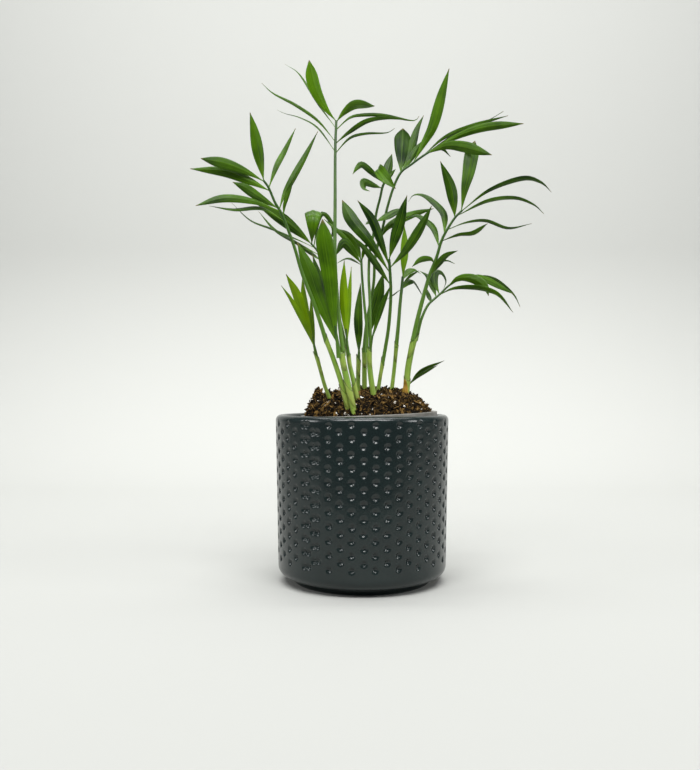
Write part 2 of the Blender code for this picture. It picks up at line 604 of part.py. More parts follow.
def make_cover_pot():
    rim = POT_WALL / 2
    inner_base = POT_BASE_RADIUS - POT_WALL
    corner = POT_CORNER_RADIUS
    band_angle = math.degrees(math.asin((DIMPLE_BAND_TOP - POT_HEIGHT + rim) / rim))
    below = [(0, 0), (FOOT_RADIUS - FOOT_CHAMFER, 0), (FOOT_RADIUS, FOOT_CHAMFER)]
    below += [(FOOT_RADIUS, FOOT_HEIGHT)]
    below += arc((POT_BASE_RADIUS - corner, FOOT_HEIGHT + corner), corner, -90, 0, 4)
    above = arc((POT_RIM_RADIUS - rim, POT_HEIGHT - rim), rim, band_angle, 180, 6)[1:]
    above += arc((inner_base - corner / 2, POT_FLOOR_TOP + corner / 2), corner / 2, 0, -90, 3)
    above += [(0, POT_FLOOR_TOP)]
    columns = sorted(
        ((DIMPLE_SEAM + DIMPLE_COLUMN_ANGLE * i) % (2 * math.pi), i % 2)
        for i in range(DIMPLE_COLUMNS)
    )
    turns = [turn for turn, odd in columns]
    lines = [(here + there) / 2 for here, there in zip(turns, turns[1:])]
    lines.append((turns[-1] + turns[0]) / 2 + math.pi)
    built = bmesh.new()
    wall_bottom, wall_top = make_dimpled_wall(built, columns, lines)
    loops = [add_loop(built, radius, height, lines) for radius, height in below] + [wall_bottom]
    for lower, upper in zip(loops, loops[1:]):
        join_loops(built, lower, upper)
    loops = [wall_top] + [add_loop(built, radius, height, lines) for radius, height in above]
    for lower, upper in zip(loops, loops[1:]):
        join_loops(built, lower, upper)
    return finish(new_object("cover_pot", solid_mesh(built, "cover_pot")), "slate_glaze")


def liner_height():
    """Length of the nursery pot along its own axis, from its low edge on the floor."""
    low_edge = POT_FLOOR_TOP + GAP + LINER_BASE_RADIUS * math.sin(LINER_TILT)
    return (LINER_RIM_HEIGHT - low_edge) / math.cos(LINER_TILT)


def liner_inner_radius(height):
    """Inner radius of the nursery pot's wall at a height above its underside."""
    top = liner_height() - LINER_LIP_DEPTH
    share = min(max((height - LINER_CORNER_RADIUS) / (top - LINER_CORNER_RADIUS), 0.0), 1.0)
    outer = LINER_BASE_RADIUS + (LINER_RIM_RADIUS - LINER_LIP_STEP - LINER_BASE_RADIUS) * share
    return outer - LINER_WALL


def place_in_cover_pot(thing):
    """Stand a piece in the nursery pot's leaning frame: low edge left, lip against the right wall."""
    rim_centre = POT_RIM_RADIUS - POT_WALL - GAP - LINER_RIM_RADIUS
    height = liner_height()
    thing.location = (
        (rim_centre + height * math.sin(LINER_TILT)) * MM,
        0,
        (LINER_RIM_HEIGHT - height * math.cos(LINER_TILT)) * MM,
    )
    thing.rotation_euler = (0, -LINER_TILT, 0)


def make_nursery_pot():
    height = liner_height()
    step_down = height - LINER_LIP_DEPTH
    wall_top = LINER_RIM_RADIUS - LINER_LIP_STEP
    wall_inside = wall_top - LINER_WALL
    corner = LINER_CORNER_RADIUS
    profile = [(0, 0)]
    profile += arc((LINER_BASE_RADIUS - corner, corner), corner, -90, 0, 3)
    profile += [(wall_top, step_down), (LINER_RIM_RADIUS - LINER_EDGE, step_down + LINER_EDGE)]
    profile += [(LINER_RIM_RADIUS, height - LINER_EDGE), (LINER_RIM_RADIUS - LINER_EDGE, height)]
    profile += [(wall_inside + LINER_EDGE, height), (wall_inside, height - LINER_EDGE)]
    profile += [(wall_inside, step_down)]
    inner_corner = corner - LINER_WALL
    centre = (LINER_BASE_RADIUS - corner, LINER_WALL + inner_corner)
    profile += arc(centre, inner_corner, 0, -90, 3)
    profile += [(0, LINER_WALL)]
    pot = new_object("nursery_pot", turned_mesh("nursery_pot", profile, LINER_SEGMENTS))
    for i in range(DRAIN_HOLES):
        turn = DRAIN_START + 2 * math.pi * i / DRAIN_HOLES
        across = Vector((math.cos(turn), math.sin(turn), 0)) * DRAIN_CIRCLE_RADIUS * MM
        below, above = -LINER_WALL, 2 * LINER_WALL
        outline = [(0, below), (DRAIN_HOLE_RADIUS, below), (DRAIN_HOLE_RADIUS, above), (0, above)]
        drill = new_object("drill", turned_mesh("drill", outline, DRAIN_SEGMENTS))
        drill.location = across
        drill.rotation_euler = (0, 0, turn)
        boolean(pot, drill, "DIFFERENCE")
    place_in_cover_pot(pot)
    return finish(pot, "grey_plastic")


def make_soil():
    """Fill of the nursery pot with a mounded top and a socket for every cane."""
    height = liner_height()
    bottom = LINER_WALL + GAP
    edge = height - SOIL_EDGE_DROP
    reach = liner_inner_radius(height) - GAP
    corner = LINER_CORNER_RADIUS
    profile = [(0, bottom), (LINER_BASE_RADIUS - corner - LINER_WALL, bottom)]
    profile += [(liner_inner_radius(bottom + corner) - GAP, bottom + corner)]
    profile += [(reach, height - LINER_LIP_DEPTH), (reach, edge)]
    for i in range(1, SOIL_RINGS):
        share = 1 - i / SOIL_RINGS
        rise = SOIL_MOUND * (1 - share ** SOIL_MOUND_POWER)
        profile.append((reach * share, edge + rise))
    profile += [(0, edge + SOIL_MOUND)]
    soil = new_object("potting_soil", turned_mesh("potting_soil", profile, LINER_SEGMENTS))
    place_in_cover_pot(soil)
    bpy.context.view_layer.update()
    soil.data.transform(soil.matrix_world)
    soil.matrix_world = Matrix()
    for name in CANES:
        boolean(soil, new_object("socket", cane_tube(name, GAP)), "DIFFERENCE")
    stalk = lengthened(BASAL_LEAF["stalk"], GAP, 0)
    radii = [radius + GAP for radius in BASAL_LEAF["radii"]]
    socket = new_object("socket", tube_mesh("socket", stalk, radii, STALK_SIDES, STALK_SPACING))
    boolean(soil, socket, "DIFFERENCE")
    return finish(soil, "potting_soil")


def make_sheath():
    """A dry leaf base: a curved scale that stands just off the cane and narrows to a point."""
    bottom, top, *points = CANES[SHEATH_CANE]
    foot = Vector(points[0]) * MM
    up = (Vector(points[1]) - Vector(points[0])).normalized()
    inner = (bottom + GAP) * MM
    outer = inner + SHEATH_THICKNESS * MM
    rings = []
    for level in range(SHEATH_LEVELS):
        share = level / (SHEATH_LEVELS - 1)
        half = SHEATH_HALF_ANGLE * (1 - 0.9 * share ** 1.3)
        flare = SHEATH_FLARE * share ** 2 * MM
        centre = foot + up * (SHEATH_START + SHEATH_HEIGHT * share) * MM
        turns = [SHEATH_FACES + half * (2 * k / SHEATH_STEPS - 1) for k in range(SHEATH_STEPS + 1)]
        across = [Vector((math.cos(turn), math.sin(turn), 0)) for turn in turns]
        ring = [centre + direction * (outer + flare) for direction in across]
        ring += [centre + direction * (inner + flare) for direction in reversed(across)]
        rings.append(ring)
    sheath = new_object("dry_sheath", mesh_from_rings("dry_sheath", rings))
    return finish(sheath, "dry_sheath_brown")


def build():
    clear_scene()
    make_cover_pot()
    make_nursery_pot()
    make_soil()
    for name in CANES:
        finish(new_object(name, cane_tube(name)), "cane_green")
    for name, leaf in LEAVES.items():
        body = make_leaf(name, leaf, STALK_ROOT)
        boolean(body, new_object("cane_clearance", cane_tube(leaf["cane"], GAP)), "DIFFERENCE")
    make_leaf("basal_leaf", BASAL_LEAF, 0)
    make_sheath()


build()
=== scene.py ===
# %% [markdown]
# # A potted parlor palm
#
# Young parlor palms grow in a thin nursery pot, and the nursery pot stands inside a dimpled
# ceramic cover pot. The CAD model gives every size and place. This lesson dresses it: the glazed
# wall gets its smooth dimples, the soil its bark and perlite, and each leaf its thin pleated
# blades.

import math
import random

import bpy
from mathutils import Matrix, Vector, noise


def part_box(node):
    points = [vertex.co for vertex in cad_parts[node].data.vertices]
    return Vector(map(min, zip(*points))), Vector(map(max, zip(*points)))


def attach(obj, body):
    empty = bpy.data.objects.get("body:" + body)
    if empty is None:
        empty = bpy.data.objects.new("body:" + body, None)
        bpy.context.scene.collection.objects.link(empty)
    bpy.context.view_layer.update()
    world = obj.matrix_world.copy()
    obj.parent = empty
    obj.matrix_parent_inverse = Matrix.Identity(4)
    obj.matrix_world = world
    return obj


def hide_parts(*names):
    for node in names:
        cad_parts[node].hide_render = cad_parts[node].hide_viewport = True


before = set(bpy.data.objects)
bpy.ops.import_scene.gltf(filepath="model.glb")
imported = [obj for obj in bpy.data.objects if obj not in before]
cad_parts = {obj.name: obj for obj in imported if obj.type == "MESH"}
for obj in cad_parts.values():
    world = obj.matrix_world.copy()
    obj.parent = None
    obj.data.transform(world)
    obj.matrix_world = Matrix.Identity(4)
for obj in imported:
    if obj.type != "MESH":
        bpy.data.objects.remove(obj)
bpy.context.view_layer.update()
MM = 0.001
print("CAD nodes:", len(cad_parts))

# %% [markdown]
# ## Colours and nodes
#
# Colours are easier to choose as the hex values of a colour picker, but Blender mixes light in
# linear values, so one function turns one into the other. A second function adds a node with its
# settings and its links in one line. An input may be a plain value, a socket of another node, or
# another node, which stands for its first output. That keeps every tree below short.

# %% Colour and node helpers
def linear(hex_colour):
    """An sRGB hex colour as linear red, green, blue and alpha."""
    values = [int(hex_colour[i:i + 2], 16) / 255 for i in (1, 3, 5)]
    return (*[v / 12.92 if v <= 0.04045 else ((v + 0.055) / 1.055) ** 2.4 for v in values], 1.0)


def add(tree, kind, inputs=None, **settings):
    """A new node with its settings, and a value or a link for each input named or numbered."""
    node = tree.nodes.new(kind)
    for name, value in settings.items():
        setattr(node, name, value)
    for name, value in (inputs or {}).items():
        socket = node.inputs[name]
        if isinstance(name, str):
            socket = next(each for each in node.inputs if each.name == name and each.enabled)
        if isinstance(value, bpy.types.Node):
            value = next(each for each in value.outputs if each.enabled)
        if isinstance(value, bpy.types.NodeSocket):
            tree.links.new(value, socket)
        else:
            socket.default_value = value
    return node


def new_material(name):
    """An empty material and its tree."""
    made = bpy.data.materials.new(name)
    made.use_nodes = True
    made.node_tree.nodes.clear()
    return made, made.node_tree


print("Dark slate in linear values:", [round(v, 4) for v in linear("#162423")])

# %% [markdown]
# ## Geometry Nodes and handing over
#
# Each tree below gets named inputs, so the same tree can make a small leaf or a large one. A
# modifier stores its values by the socket's identifier and not by its name, so `run_tree` looks
# the identifiers up. It then keeps the evaluated result as a plain mesh and drops the modifier,
# because a finished piece has to stand on its own.

# %% Geometry Nodes helpers
SHARP_ANGLE = math.radians(50)


def new_tree(name, **inputs):
    """A geometry tree with a Geometry input, an input for each keyword, and an output."""
    tree = bpy.data.node_groups.new(name, "GeometryNodeTree")
    tree.interface.new_socket("Geometry", in_out="INPUT", socket_type="NodeSocketGeometry")
    tree.interface.new_socket("Geometry", in_out="OUTPUT", socket_type="NodeSocketGeometry")
    for label, kind in inputs.items():
        tree.interface.new_socket(label, in_out="INPUT", socket_type="NodeSocket" + kind)
    return tree, tree.nodes.new("NodeGroupInput").outputs


def end_tree(tree, geometry, material):
    """Realize Instances and Set Material close every tree."""
    real = add(tree, "GeometryNodeRealizeInstances", {"Geometry": geometry})
    painted = add(tree, "GeometryNodeSetMaterial", {"Geometry": real, "Material": material})
    add(tree, "NodeGroupOutput", {"Geometry": painted})


def new_object(name, mesh):
    made = bpy.data.objects.new(name, mesh)
    bpy.context.scene.collection.objects.link(made)
    return made


def mesh_of(vertices, edges=(), faces=()):
    mesh = bpy.data.meshes.new("source")
    mesh.from_pydata([tuple(vertex) for vertex in vertices], edges, faces)
    return mesh


def run_tree(tree, name, source, **values):
    """Run a tree on a source mesh and keep the result as a plain mesh object."""
    piece = new_object(name, source)
    modifier = piece.modifiers.new(tree.name, "NODES")
    modifier.node_group = tree
    for item in tree.interface.items_tree:
        if item.in_out == "INPUT" and item.name in values:
            modifier[item.identifier] = values[item.name]
    evaluated = piece.evaluated_get(bpy.context.evaluated_depsgraph_get())
    mesh = bpy.data.meshes.new_from_object(evaluated)
    piece.modifiers.remove(modifier)
    mesh.name = name
    piece.data = mesh
    mesh.shade_smooth()
    mesh.set_sharp_from_angle(angle=SHARP_ANGLE)
    print(name, "has", len(mesh.polygons), "faces")
    return piece


def hand_over(piece, slot, *nodes):
    """The piece rides on the one body and stands for the CAD nodes, which are hidden; its slot is
    not used.
    """
    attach(piece, "root")
    if nodes:
        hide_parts(*nodes)


print("Edges are sharp over", round(math.degrees(SHARP_ANGLE)), "degrees")

# %% [markdown]
# ## Lathe
#
# Both pots are turned shapes, so one function spins an outline of (radius, height) points about
# the vertical axis. It could be the Screw modifier, but a direct mesh gives full control over how
# many rings the dimpled wall gets.

# %% Lathe and arcs
def turned(outline, segments):
    """Closed solid of revolution; the outline starts and ends on the axis, in millimetres."""
    vertices = []
    loops = []
    for radius, height in outline:
        count = 1 if radius == 0 else segments
        loops.append(range(len(vertices), len(vertices) + count))
        for i in range(count):
            turn = 2 * math.pi * i / segments
            out = Vector((math.sin(turn), -math.cos(turn), 0)) * radius
            vertices.append((out + Vector((0, 0, height))) * MM)
    faces = []
    for lower, upper in zip(loops, loops[1:]):
        for i in range(segments):
            j = (i + 1) % segments
            corners = [lower[i % len(lower)], lower[j % len(lower)]]
            corners += [upper[j % len(upper)], upper[i % len(upper)]]
            faces.append(tuple(dict.fromkeys(corners)))
    return mesh_of(vertices, faces=faces)


def arc(centre, radius, start, end, steps):
    """Points on an arc in the (radius, height) plane, angles in degrees."""
    turns = [math.radians(start + (end - start) * i / steps) for i in range(steps + 1)]
    return [(centre[0] + radius * math.cos(t), centre[1] + radius * math.sin(t)) for t in turns]


def wall_points(start, end, step):
    """Evenly spaced points on a straight wall, without its two ends."""
    count = max(1, round(math.dist(start, end) / step))
    return [
        (start[0] + (end[0] - start[0]) * i / count, start[1] + (end[1] - start[1]) * i / count)
        for i in range(1, count)
    ]


print("A quarter arc in 4 steps has", len(arc((0, 0), 1, 0, 90, 4)), "points")

# %% [markdown]
# ## Slate glaze
#
# The cover pot is stoneware under a dark blue-grey glaze. Glaze is glass, so it has an IOR of
# about 1.5 and a low roughness, and it pools a little: thick spots are darker and bluer. Two
# noises give that, one for the pooling, about 12 mm across, and a fine one, 2.5 mm across, for the
# faint waviness that breaks up the reflections.

# %% Glaze
def make_glaze():
    glaze, tree = new_material("slate_stoneware_glaze")
    place = add(tree, "ShaderNodeTexCoord").outputs["Object"]
    pooling = add(tree, "ShaderNodeTexNoise", {"Vector": place, "Scale": 80.0, "Detail": 3.0})
    colour = add(tree, "ShaderNodeMix", {
        "Factor": pooling, "A": linear("#081414"), "B": linear("#162423"),
    }, data_type="RGBA")
    wave = add(tree, "ShaderNodeTexNoise", {"Vector": place, "Scale": 400.0, "Detail": 2.0})
    bump = add(tree, "ShaderNodeBump", {"Height": wave, "Strength": 0.25, "Distance": 0.15 * MM})
    surface = add(tree, "ShaderNodeBsdfPrincipled", {
        "Base Color": colour, "Roughness": 0.22, "IOR": 1.5, "Normal": bump,
    })
    add(tree, "ShaderNodeOutputMaterial", {"Surface": surface})
    return glaze


GLAZE = make_glaze()
print("Glaze nodes:", len(GLAZE.node_tree.nodes))

# %% [markdown]
# ## Dimples on the cover pot
#
# The wall is pressed with small round dimples in upright columns, every second column half a step
# lower. The pattern comes from a flat mat that is wrapped round the pot, and where the mat's ends
# meet, its first and last columns lie close together. A grid of points follows that rule, and each
# wall vertex sinks by its distance from the nearest point. Modelling over five hundred dimples
# one by one, or cutting them with Booleans, would be slow and hard to change.

# %% Dimple tree
MATHS = "ShaderNodeMath"
VECTORS = "ShaderNodeVectorMath"
BOWL_POWER = 1.1


def dimple_tree():
    tree, given = new_tree(
        "press_dimples", Columns="Int", Rows="Int", SeamAngle="Float", ColumnAngle="Float",
        TopRow="Float", RowPitch="Float", RimRadius="Float", Taper="Float", Radius="Float",
        Depth="Float", Wander="Float", Seed="Int", Material="Material",
    )
    mat = add(tree, "GeometryNodeMeshGrid", {
        "Vertices X": given["Columns"], "Vertices Y": given["Rows"],
    })
    index = add(tree, "GeometryNodeInputIndex")
    column = add(tree, MATHS, {
        0: add(tree, MATHS, {0: index, 1: given["Rows"]}, operation="DIVIDE"),
    }, operation="FLOOR")
    row = add(tree, MATHS, {0: index, 1: given["Rows"]}, operation="MODULO")
    odd = add(tree, MATHS, {0: column, 1: 2.0}, operation="MODULO")
    steps_down = add(tree, MATHS, {0: odd, 1: 0.5, 2: row}, operation="MULTIPLY_ADD")
    drop = add(tree, MATHS, {0: steps_down, 1: given["RowPitch"]}, operation="MULTIPLY")
    height = add(tree, MATHS, {0: given["TopRow"], 1: drop}, operation="SUBTRACT")
    inset = add(tree, MATHS, {0: drop, 1: given["Taper"]}, operation="MULTIPLY")
    radius = add(tree, MATHS, {0: given["RimRadius"], 1: inset}, operation="SUBTRACT")
    forwards = add(tree, MATHS, {0: radius, 1: -1.0}, operation="MULTIPLY")
    turn = add(tree, MATHS, {
        0: column, 1: given["ColumnAngle"], 2: given["SeamAngle"],
    }, operation="MULTIPLY_ADD")
    on_wall = add(tree, "ShaderNodeVectorRotate", {
        "Vector": add(tree, "ShaderNodeCombineXYZ", {"Y": forwards, "Z": height}), "Angle": turn,
    }, rotation_type="Z_AXIS")
    wander = add(tree, VECTORS, {
        0: add(tree, "FunctionNodeRandomValue", {
            "Min": (-1, -1, -1), "Max": (1, 1, 1), "Seed": given["Seed"],
        }, data_type="FLOAT_VECTOR"),
        "Scale": given["Wander"],
    }, operation="SCALE")
    wrapped = add(tree, "GeometryNodeSetPosition", {
        "Geometry": mat, "Position": on_wall, "Offset": wander,
    })
    last_row = add(tree, MATHS, {0: given["Rows"], 1: 1.5}, operation="SUBTRACT")
    spare = add(tree, "FunctionNodeBooleanMath", {
        0: add(tree, MATHS, {0: row, 1: last_row}, operation="GREATER_THAN"),
        1: add(tree, MATHS, {0: odd, 1: 0.5}, operation="GREATER_THAN"),
    }, operation="AND")
    centres = add(tree, "GeometryNodeDeleteGeometry", {"Geometry": wrapped, "Selection": spare})
    near = add(tree, "GeometryNodeProximity", {"Geometry": centres}, target_element="POINTS")
    share = add(tree, MATHS, {
        0: near.outputs["Distance"], 1: given["Radius"],
    }, operation="DIVIDE", use_clamp=True)
    squared = add(tree, MATHS, {0: share, 1: 2.0}, operation="POWER")
    bowl = add(tree, MATHS, {
        0: add(tree, MATHS, {0: 1.0, 1: squared}, operation="SUBTRACT"), 1: BOWL_POWER,
    }, operation="POWER")
    sink = add(tree, MATHS, {0: bowl, 1: given["Depth"]}, operation="MULTIPLY")
    inward = add(tree, VECTORS, {
        0: add(tree, VECTORS, {
            0: add(tree, "GeometryNodeInputPosition"), 1: (-1, -1, 0),
        }, operation="MULTIPLY"),
    }, operation="NORMALIZE")
    pressed = add(tree, "GeometryNodeSetPosition", {
        "Geometry": given["Geometry"],
        "Offset": add(tree, VECTORS, {0: inward, "Scale": sink}, operation="SCALE"),
    })
    end_tree(tree, pressed, given["Material"])
    return tree


DIMPLE_TREE = dimple_tree()
print("Dimple tree nodes:", len(DIMPLE_TREE.nodes))

# %% [markdown]
# ## Cover pot
#
# The pot is a plain cylinder with a soft rim and a foot that is set in, so that it seems to float
# on a thin shadow. Its outline is turned with close rings where the dimples are, because a dimple
# only shows if several vertices lie in it, and with few rings everywhere else.

# %% Turn the cover pot and press its dimples
pot_low, pot_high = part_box("cover_pot")
POT_RIM_RADIUS = (pot_high[0] - pot_low[0]) / 2 / MM
POT_HEIGHT = pot_high[2] / MM
POT_BASE_RADIUS = POT_RIM_RADIUS - 1.4
POT_WALL = 5.6
POT_FLOOR = 7.0
POT_CORNER = 5.5
FOOT_RADIUS = 36.5
FOOT_HEIGHT = 3.4
FOOT_CHAMFER = 0.8
DIMPLE_MESH_STEP = 0.58
POT_SEGMENTS = 560


def cover_pot_outline():
    rim = POT_WALL / 2
    corner = POT_CORNER
    inner_base = POT_BASE_RADIUS - POT_WALL
    outline = [(0, 0), (FOOT_RADIUS - FOOT_CHAMFER, 0), (FOOT_RADIUS, FOOT_CHAMFER)]
    outline += [(FOOT_RADIUS, FOOT_HEIGHT)]
    outline += arc((POT_BASE_RADIUS - corner, FOOT_HEIGHT + corner), corner, -90, 0, 8)
    wall_top = (POT_RIM_RADIUS, POT_HEIGHT - rim)
    outline += wall_points(outline[-1], wall_top, DIMPLE_MESH_STEP)
    outline += arc((POT_RIM_RADIUS - rim, POT_HEIGHT - rim), rim, 0, 180, 10)
    outline += arc((inner_base - corner / 2, POT_FLOOR + corner / 2), corner / 2, 0, -90, 3)
    return outline + [(0, POT_FLOOR)]


cover_pot = run_tree(
    DIMPLE_TREE, "dimpled_cover_pot", turned(cover_pot_outline(), POT_SEGMENTS),
    Columns=50, Rows=11, SeamAngle=math.radians(-36.9), ColumnAngle=math.radians(7.43),
    TopRow=83.9 * MM, RowPitch=6.98 * MM, RimRadius=POT_RIM_RADIUS * MM,
    Taper=(POT_RIM_RADIUS - POT_BASE_RADIUS) / POT_HEIGHT, Radius=1.75 * MM, Depth=1.05 * MM,
    Wander=0.28 * MM, Seed=4, Material=GLAZE,
)
hand_over(cover_pot, "slate_glaze", "cover_pot")

# %% [markdown]
# ## Nursery pot
#
# Growers sell seedlings in a thin pot of grey polypropylene. Here it stands askew in the cover
# pot, so its lip leans on the right. It is a turned shape too, made in its own upright frame and
# then tilted. Only the lip shows, but the whole wall is there, as on the real one.

# %% Turn and tilt the nursery pot
LINER_TILT = math.radians(2.2)
LINER_RIM_RADIUS = 36.6
LINER_RIM_HEIGHT = 88.5
LINER_LIP_DEPTH = 8.0
LINER_LIP_STEP = 1.1
LINER_LIP_ROUNDING = 0.45
LINER_WALL = 1.0
LINER_BASE_RADIUS = 26.5
LINER_CORNER = 2.5
LINER_SEGMENTS = 128
PIECE_GAP = 0.3
LINER_HEIGHT = (
    LINER_RIM_HEIGHT - POT_FLOOR - PIECE_GAP - LINER_BASE_RADIUS * math.sin(LINER_TILT)
) / math.cos(LINER_TILT)
LINER_RIM_X = POT_RIM_RADIUS - POT_WALL - PIECE_GAP - LINER_RIM_RADIUS


def lean(mesh):
    """Bake the nursery pot's tilt and place into a mesh made in its upright frame."""
    foot = Vector((
        LINER_RIM_X + LINER_HEIGHT * math.sin(LINER_TILT), 0,
        LINER_RIM_HEIGHT - LINER_HEIGHT * math.cos(LINER_TILT),
    )) * MM
    mesh.transform(Matrix.Translation(foot) @ Matrix.Rotation(-LINER_TILT, 4, "Y"))
    return mesh


def liner_outline():
    step = LINER_HEIGHT - LINER_LIP_DEPTH
    wall_top = LINER_RIM_RADIUS - LINER_LIP_STEP
    inside = wall_top - LINER_WALL
    lip = LINER_WALL * LINER_LIP_ROUNDING
    corner = (LINER_BASE_RADIUS - LINER_CORNER, LINER_CORNER)
    outline = [(0, 0)] + arc(corner, LINER_CORNER, -90, 0, 5)
    outline += [(wall_top, step), (LINER_RIM_RADIUS - lip, step + lip)]
    outline += arc((LINER_RIM_RADIUS - lip, LINER_HEIGHT - lip), lip, 0, 90, 3)
    outline += arc((inside + lip, LINER_HEIGHT - lip), lip, 90, 180, 3)
    outline += [(inside, step)] + arc(corner, LINER_CORNER - LINER_WALL, 0, -90, 4)
    return outline + [(0, LINER_WALL)]


def make_pot_plastic():
    """Moulded polypropylene: a dull satin skin, IOR 1.49, dusted with peat in 4 mm patches."""
    plastic, tree = new_material("moulded_grey_polypropylene")
    place = add(tree, "ShaderNodeTexCoord").outputs["Object"]
    dust = add(tree, "ShaderNodeTexNoise", {"Vector": place, "Scale": 250.0, "Detail": 5.0})
    colour = add(tree, "ShaderNodeMix", {
        "Factor": dust, "A": linear("#504e48"), "B": linear("#8c8a83"),
    }, data_type="RGBA")
    bump = add(tree, "ShaderNodeBump", {"Height": dust, "Strength": 0.2, "Distance": 0.05 * MM})
    surface = add(tree, "ShaderNodeBsdfPrincipled", {
        "Base Color": colour, "Roughness": 0.42, "IOR": 1.49, "Normal": bump,
    })
    add(tree, "ShaderNodeOutputMaterial", {"Surface": surface})
    return plastic


nursery_pot = new_object("nursery_pot_wall", lean(turned(liner_outline(), LINER_SEGMENTS)))
nursery_pot.data.materials.append(make_pot_plastic())
nursery_pot.data.shade_smooth()
nursery_pot.data.set_sharp_from_angle(angle=SHARP_ANGLE)
hand_over(nursery_pot, "grey_plastic", "nursery_pot")
print("Nursery pot height along its axis:", round(LINER_HEIGHT, 1), "mm")

# %% [markdown]
# ## Potting mix
#
# The mix is composted bark, peat and a little perlite, heaped above the pot's lip. A single smooth
# mound would look like dough, so the mound is only the dark ground between the chips. Its height
# follows a flat-topped heap, steeper at the left and higher at the back. Each lump is a place, a
# rise and a width, and two waves of noise, each with its layer, its scale and its rise, make the
# rest uneven. All of them die out at the edge.

# %% Potting-mix materials
GRAIN_WEIGHT = 0.6
MOSTLY_DARK = 2.8


def crumb_material(name, dark, light, grain_mm):
    """A dull crumb between two colours: each piece has its own tone, and a grain breaks it up."""
    made, tree = new_material(name)
    place = add(tree, "ShaderNodeTexCoord").outputs["Object"]
    grain = add(tree, "ShaderNodeTexNoise", {
        "Vector": place, "Scale": 1 / (grain_mm * MM), "Detail": 4.0,
    })
    tone = add(tree, "ShaderNodeAttribute", attribute_name="tone").outputs["Fac"]
    uneven = add(tree, MATHS, {
        0: grain, 1: GRAIN_WEIGHT, 2: -GRAIN_WEIGHT / 2,
    }, operation="MULTIPLY_ADD")
    share = add(tree, MATHS, {0: tone, 1: uneven}, operation="ADD", use_clamp=True)
    steep = add(tree, MATHS, {0: share, 1: MOSTLY_DARK}, operation="POWER")
    colour = add(tree, "ShaderNodeMix", {
        "Factor": steep, "A": linear(dark), "B": linear(light),
    }, data_type="RGBA")
    bump = add(tree, "ShaderNodeBump", {"Height": grain, "Strength": 0.5, "Distance": 0.2 * MM})
    surface = add(tree, "ShaderNodeBsdfPrincipled", {
        "Base Color": colour, "Roughness": 0.9, "IOR": 1.4, "Specular IOR Level": 0.15,
        "Normal": bump,
    })
    add(tree, "ShaderNodeOutputMaterial", {"Surface": surface})
    return made


BARK = crumb_material("composted_bark", dark="#0a0602", light="#7e6234", grain_mm=0.7)
COIR = crumb_material("coir_fibre", dark="#4a321d", light="#b98d55", grain_mm=0.4)
PERLITE = crumb_material("expanded_perlite", dark="#cfc8ba", light="#f6f3ec", grain_mm=0.4)
print("Crumb materials:", BARK.name, COIR.name, PERLITE.name)

# %% Shape of the heap
HEAP_RISE = 13.4
HEAP_POWER = 6.5
HEAP_SLOPE = 2.5
HEAP_BACKWARDS = 0.13
HEAP_DROP = 2.0
HEAP_RINGS = 44
HEAP_SEGMENTS = 128
LUMP_EDGE_POWER = 12
WAVE_EDGE_POWER = 10
HEAP_LUMPS = (
    (-27, -6, 6.5, 2.8), (-21, -3, 2.5, 2.2), (-20, 9, -1.5, 5.0), (26, -12, 1.0, 7.0),
    (-5, -31.5, 4.0, 5.0), (14, -29, 1.5, 6.0), (-28, -14, 2.0, 4.0), (29, 12, 1.0, 6.0),
)
HEAP_WAVES = ((0, 0.45, 1.3), (5, 1.3, 0.7))


def liner_inner_radius(height):
    step = LINER_HEIGHT - LINER_LIP_DEPTH
    share = min(max((height - LINER_CORNER) / (step - LINER_CORNER), 0.0), 1.0)
    top_radius = LINER_RIM_RADIUS - LINER_LIP_STEP
    return LINER_BASE_RADIUS + (top_radius - LINER_BASE_RADIUS) * share - LINER_WALL


def heap_height(x, y, reach):
    """Height of the heap above its edge, in the nursery pot's frame, in millimetres."""
    share = min(math.hypot(x, y) / reach, 1.0)
    flat = 1 - share ** (HEAP_POWER - HEAP_SLOPE * x / reach)
    height = (HEAP_RISE + HEAP_BACKWARDS * y) * flat
    for lump_x, lump_y, rise, width in HEAP_LUMPS:
        away = math.hypot(x - lump_x, y - lump_y) / width
        height += rise * math.exp(-away * away) * (1 - share ** LUMP_EDGE_POWER)
    rough = sum(noise.noise(Vector((x, y, z)) * scale) * rise for z, scale, rise in HEAP_WAVES)
    return height + rough * (1 - share ** WAVE_EDGE_POWER)


def make_heap():
    bottom = LINER_WALL + PIECE_GAP
    edge = LINER_HEIGHT - HEAP_DROP
    reach = liner_inner_radius(LINER_HEIGHT) - PIECE_GAP
    outline = [(0, bottom), (LINER_BASE_RADIUS - LINER_CORNER - LINER_WALL, bottom)]
    outline += [(liner_inner_radius(bottom + LINER_CORNER) - PIECE_GAP, bottom + LINER_CORNER)]
    outline += [(reach, LINER_HEIGHT - LINER_LIP_DEPTH), (reach, edge)]
    outline += [(reach * (1 - i / HEAP_RINGS), edge) for i in range(1, HEAP_RINGS)] + [(0, edge)]
    mesh = turned(outline, HEAP_SEGMENTS)
    for vertex in mesh.vertices:
        if vertex.co.z > (edge - 0.01) * MM:
            vertex.co.z += heap_height(vertex.co.x / MM, vertex.co.y / MM, reach) * MM
    return lean(mesh)


heap = new_object("potting_mix_heap", make_heap())
heap.data.materials.append(BARK)
heap.data.shade_smooth()
heap_source = heap.data.copy()
hand_over(heap, "potting_soil", "potting_soil")
print("Heap top:", round(max(v.co.z for v in heap.data.vertices) / MM, 1), "mm")

# %% [markdown]
# ## Chips, fibres and perlite
#
# One tree strews any crumb over the heap: it distributes points on the upper faces, turns each
# crumb at random, scales it between two sizes and stores a random tone that the materials turn
# into light and dark pieces. The crumb itself is a small mesh of 15 to 30 faces, because
# thousands of them are realized into plain mesh. A real mix holds dust of 0.5 mm and chips of up
# to 5 mm.

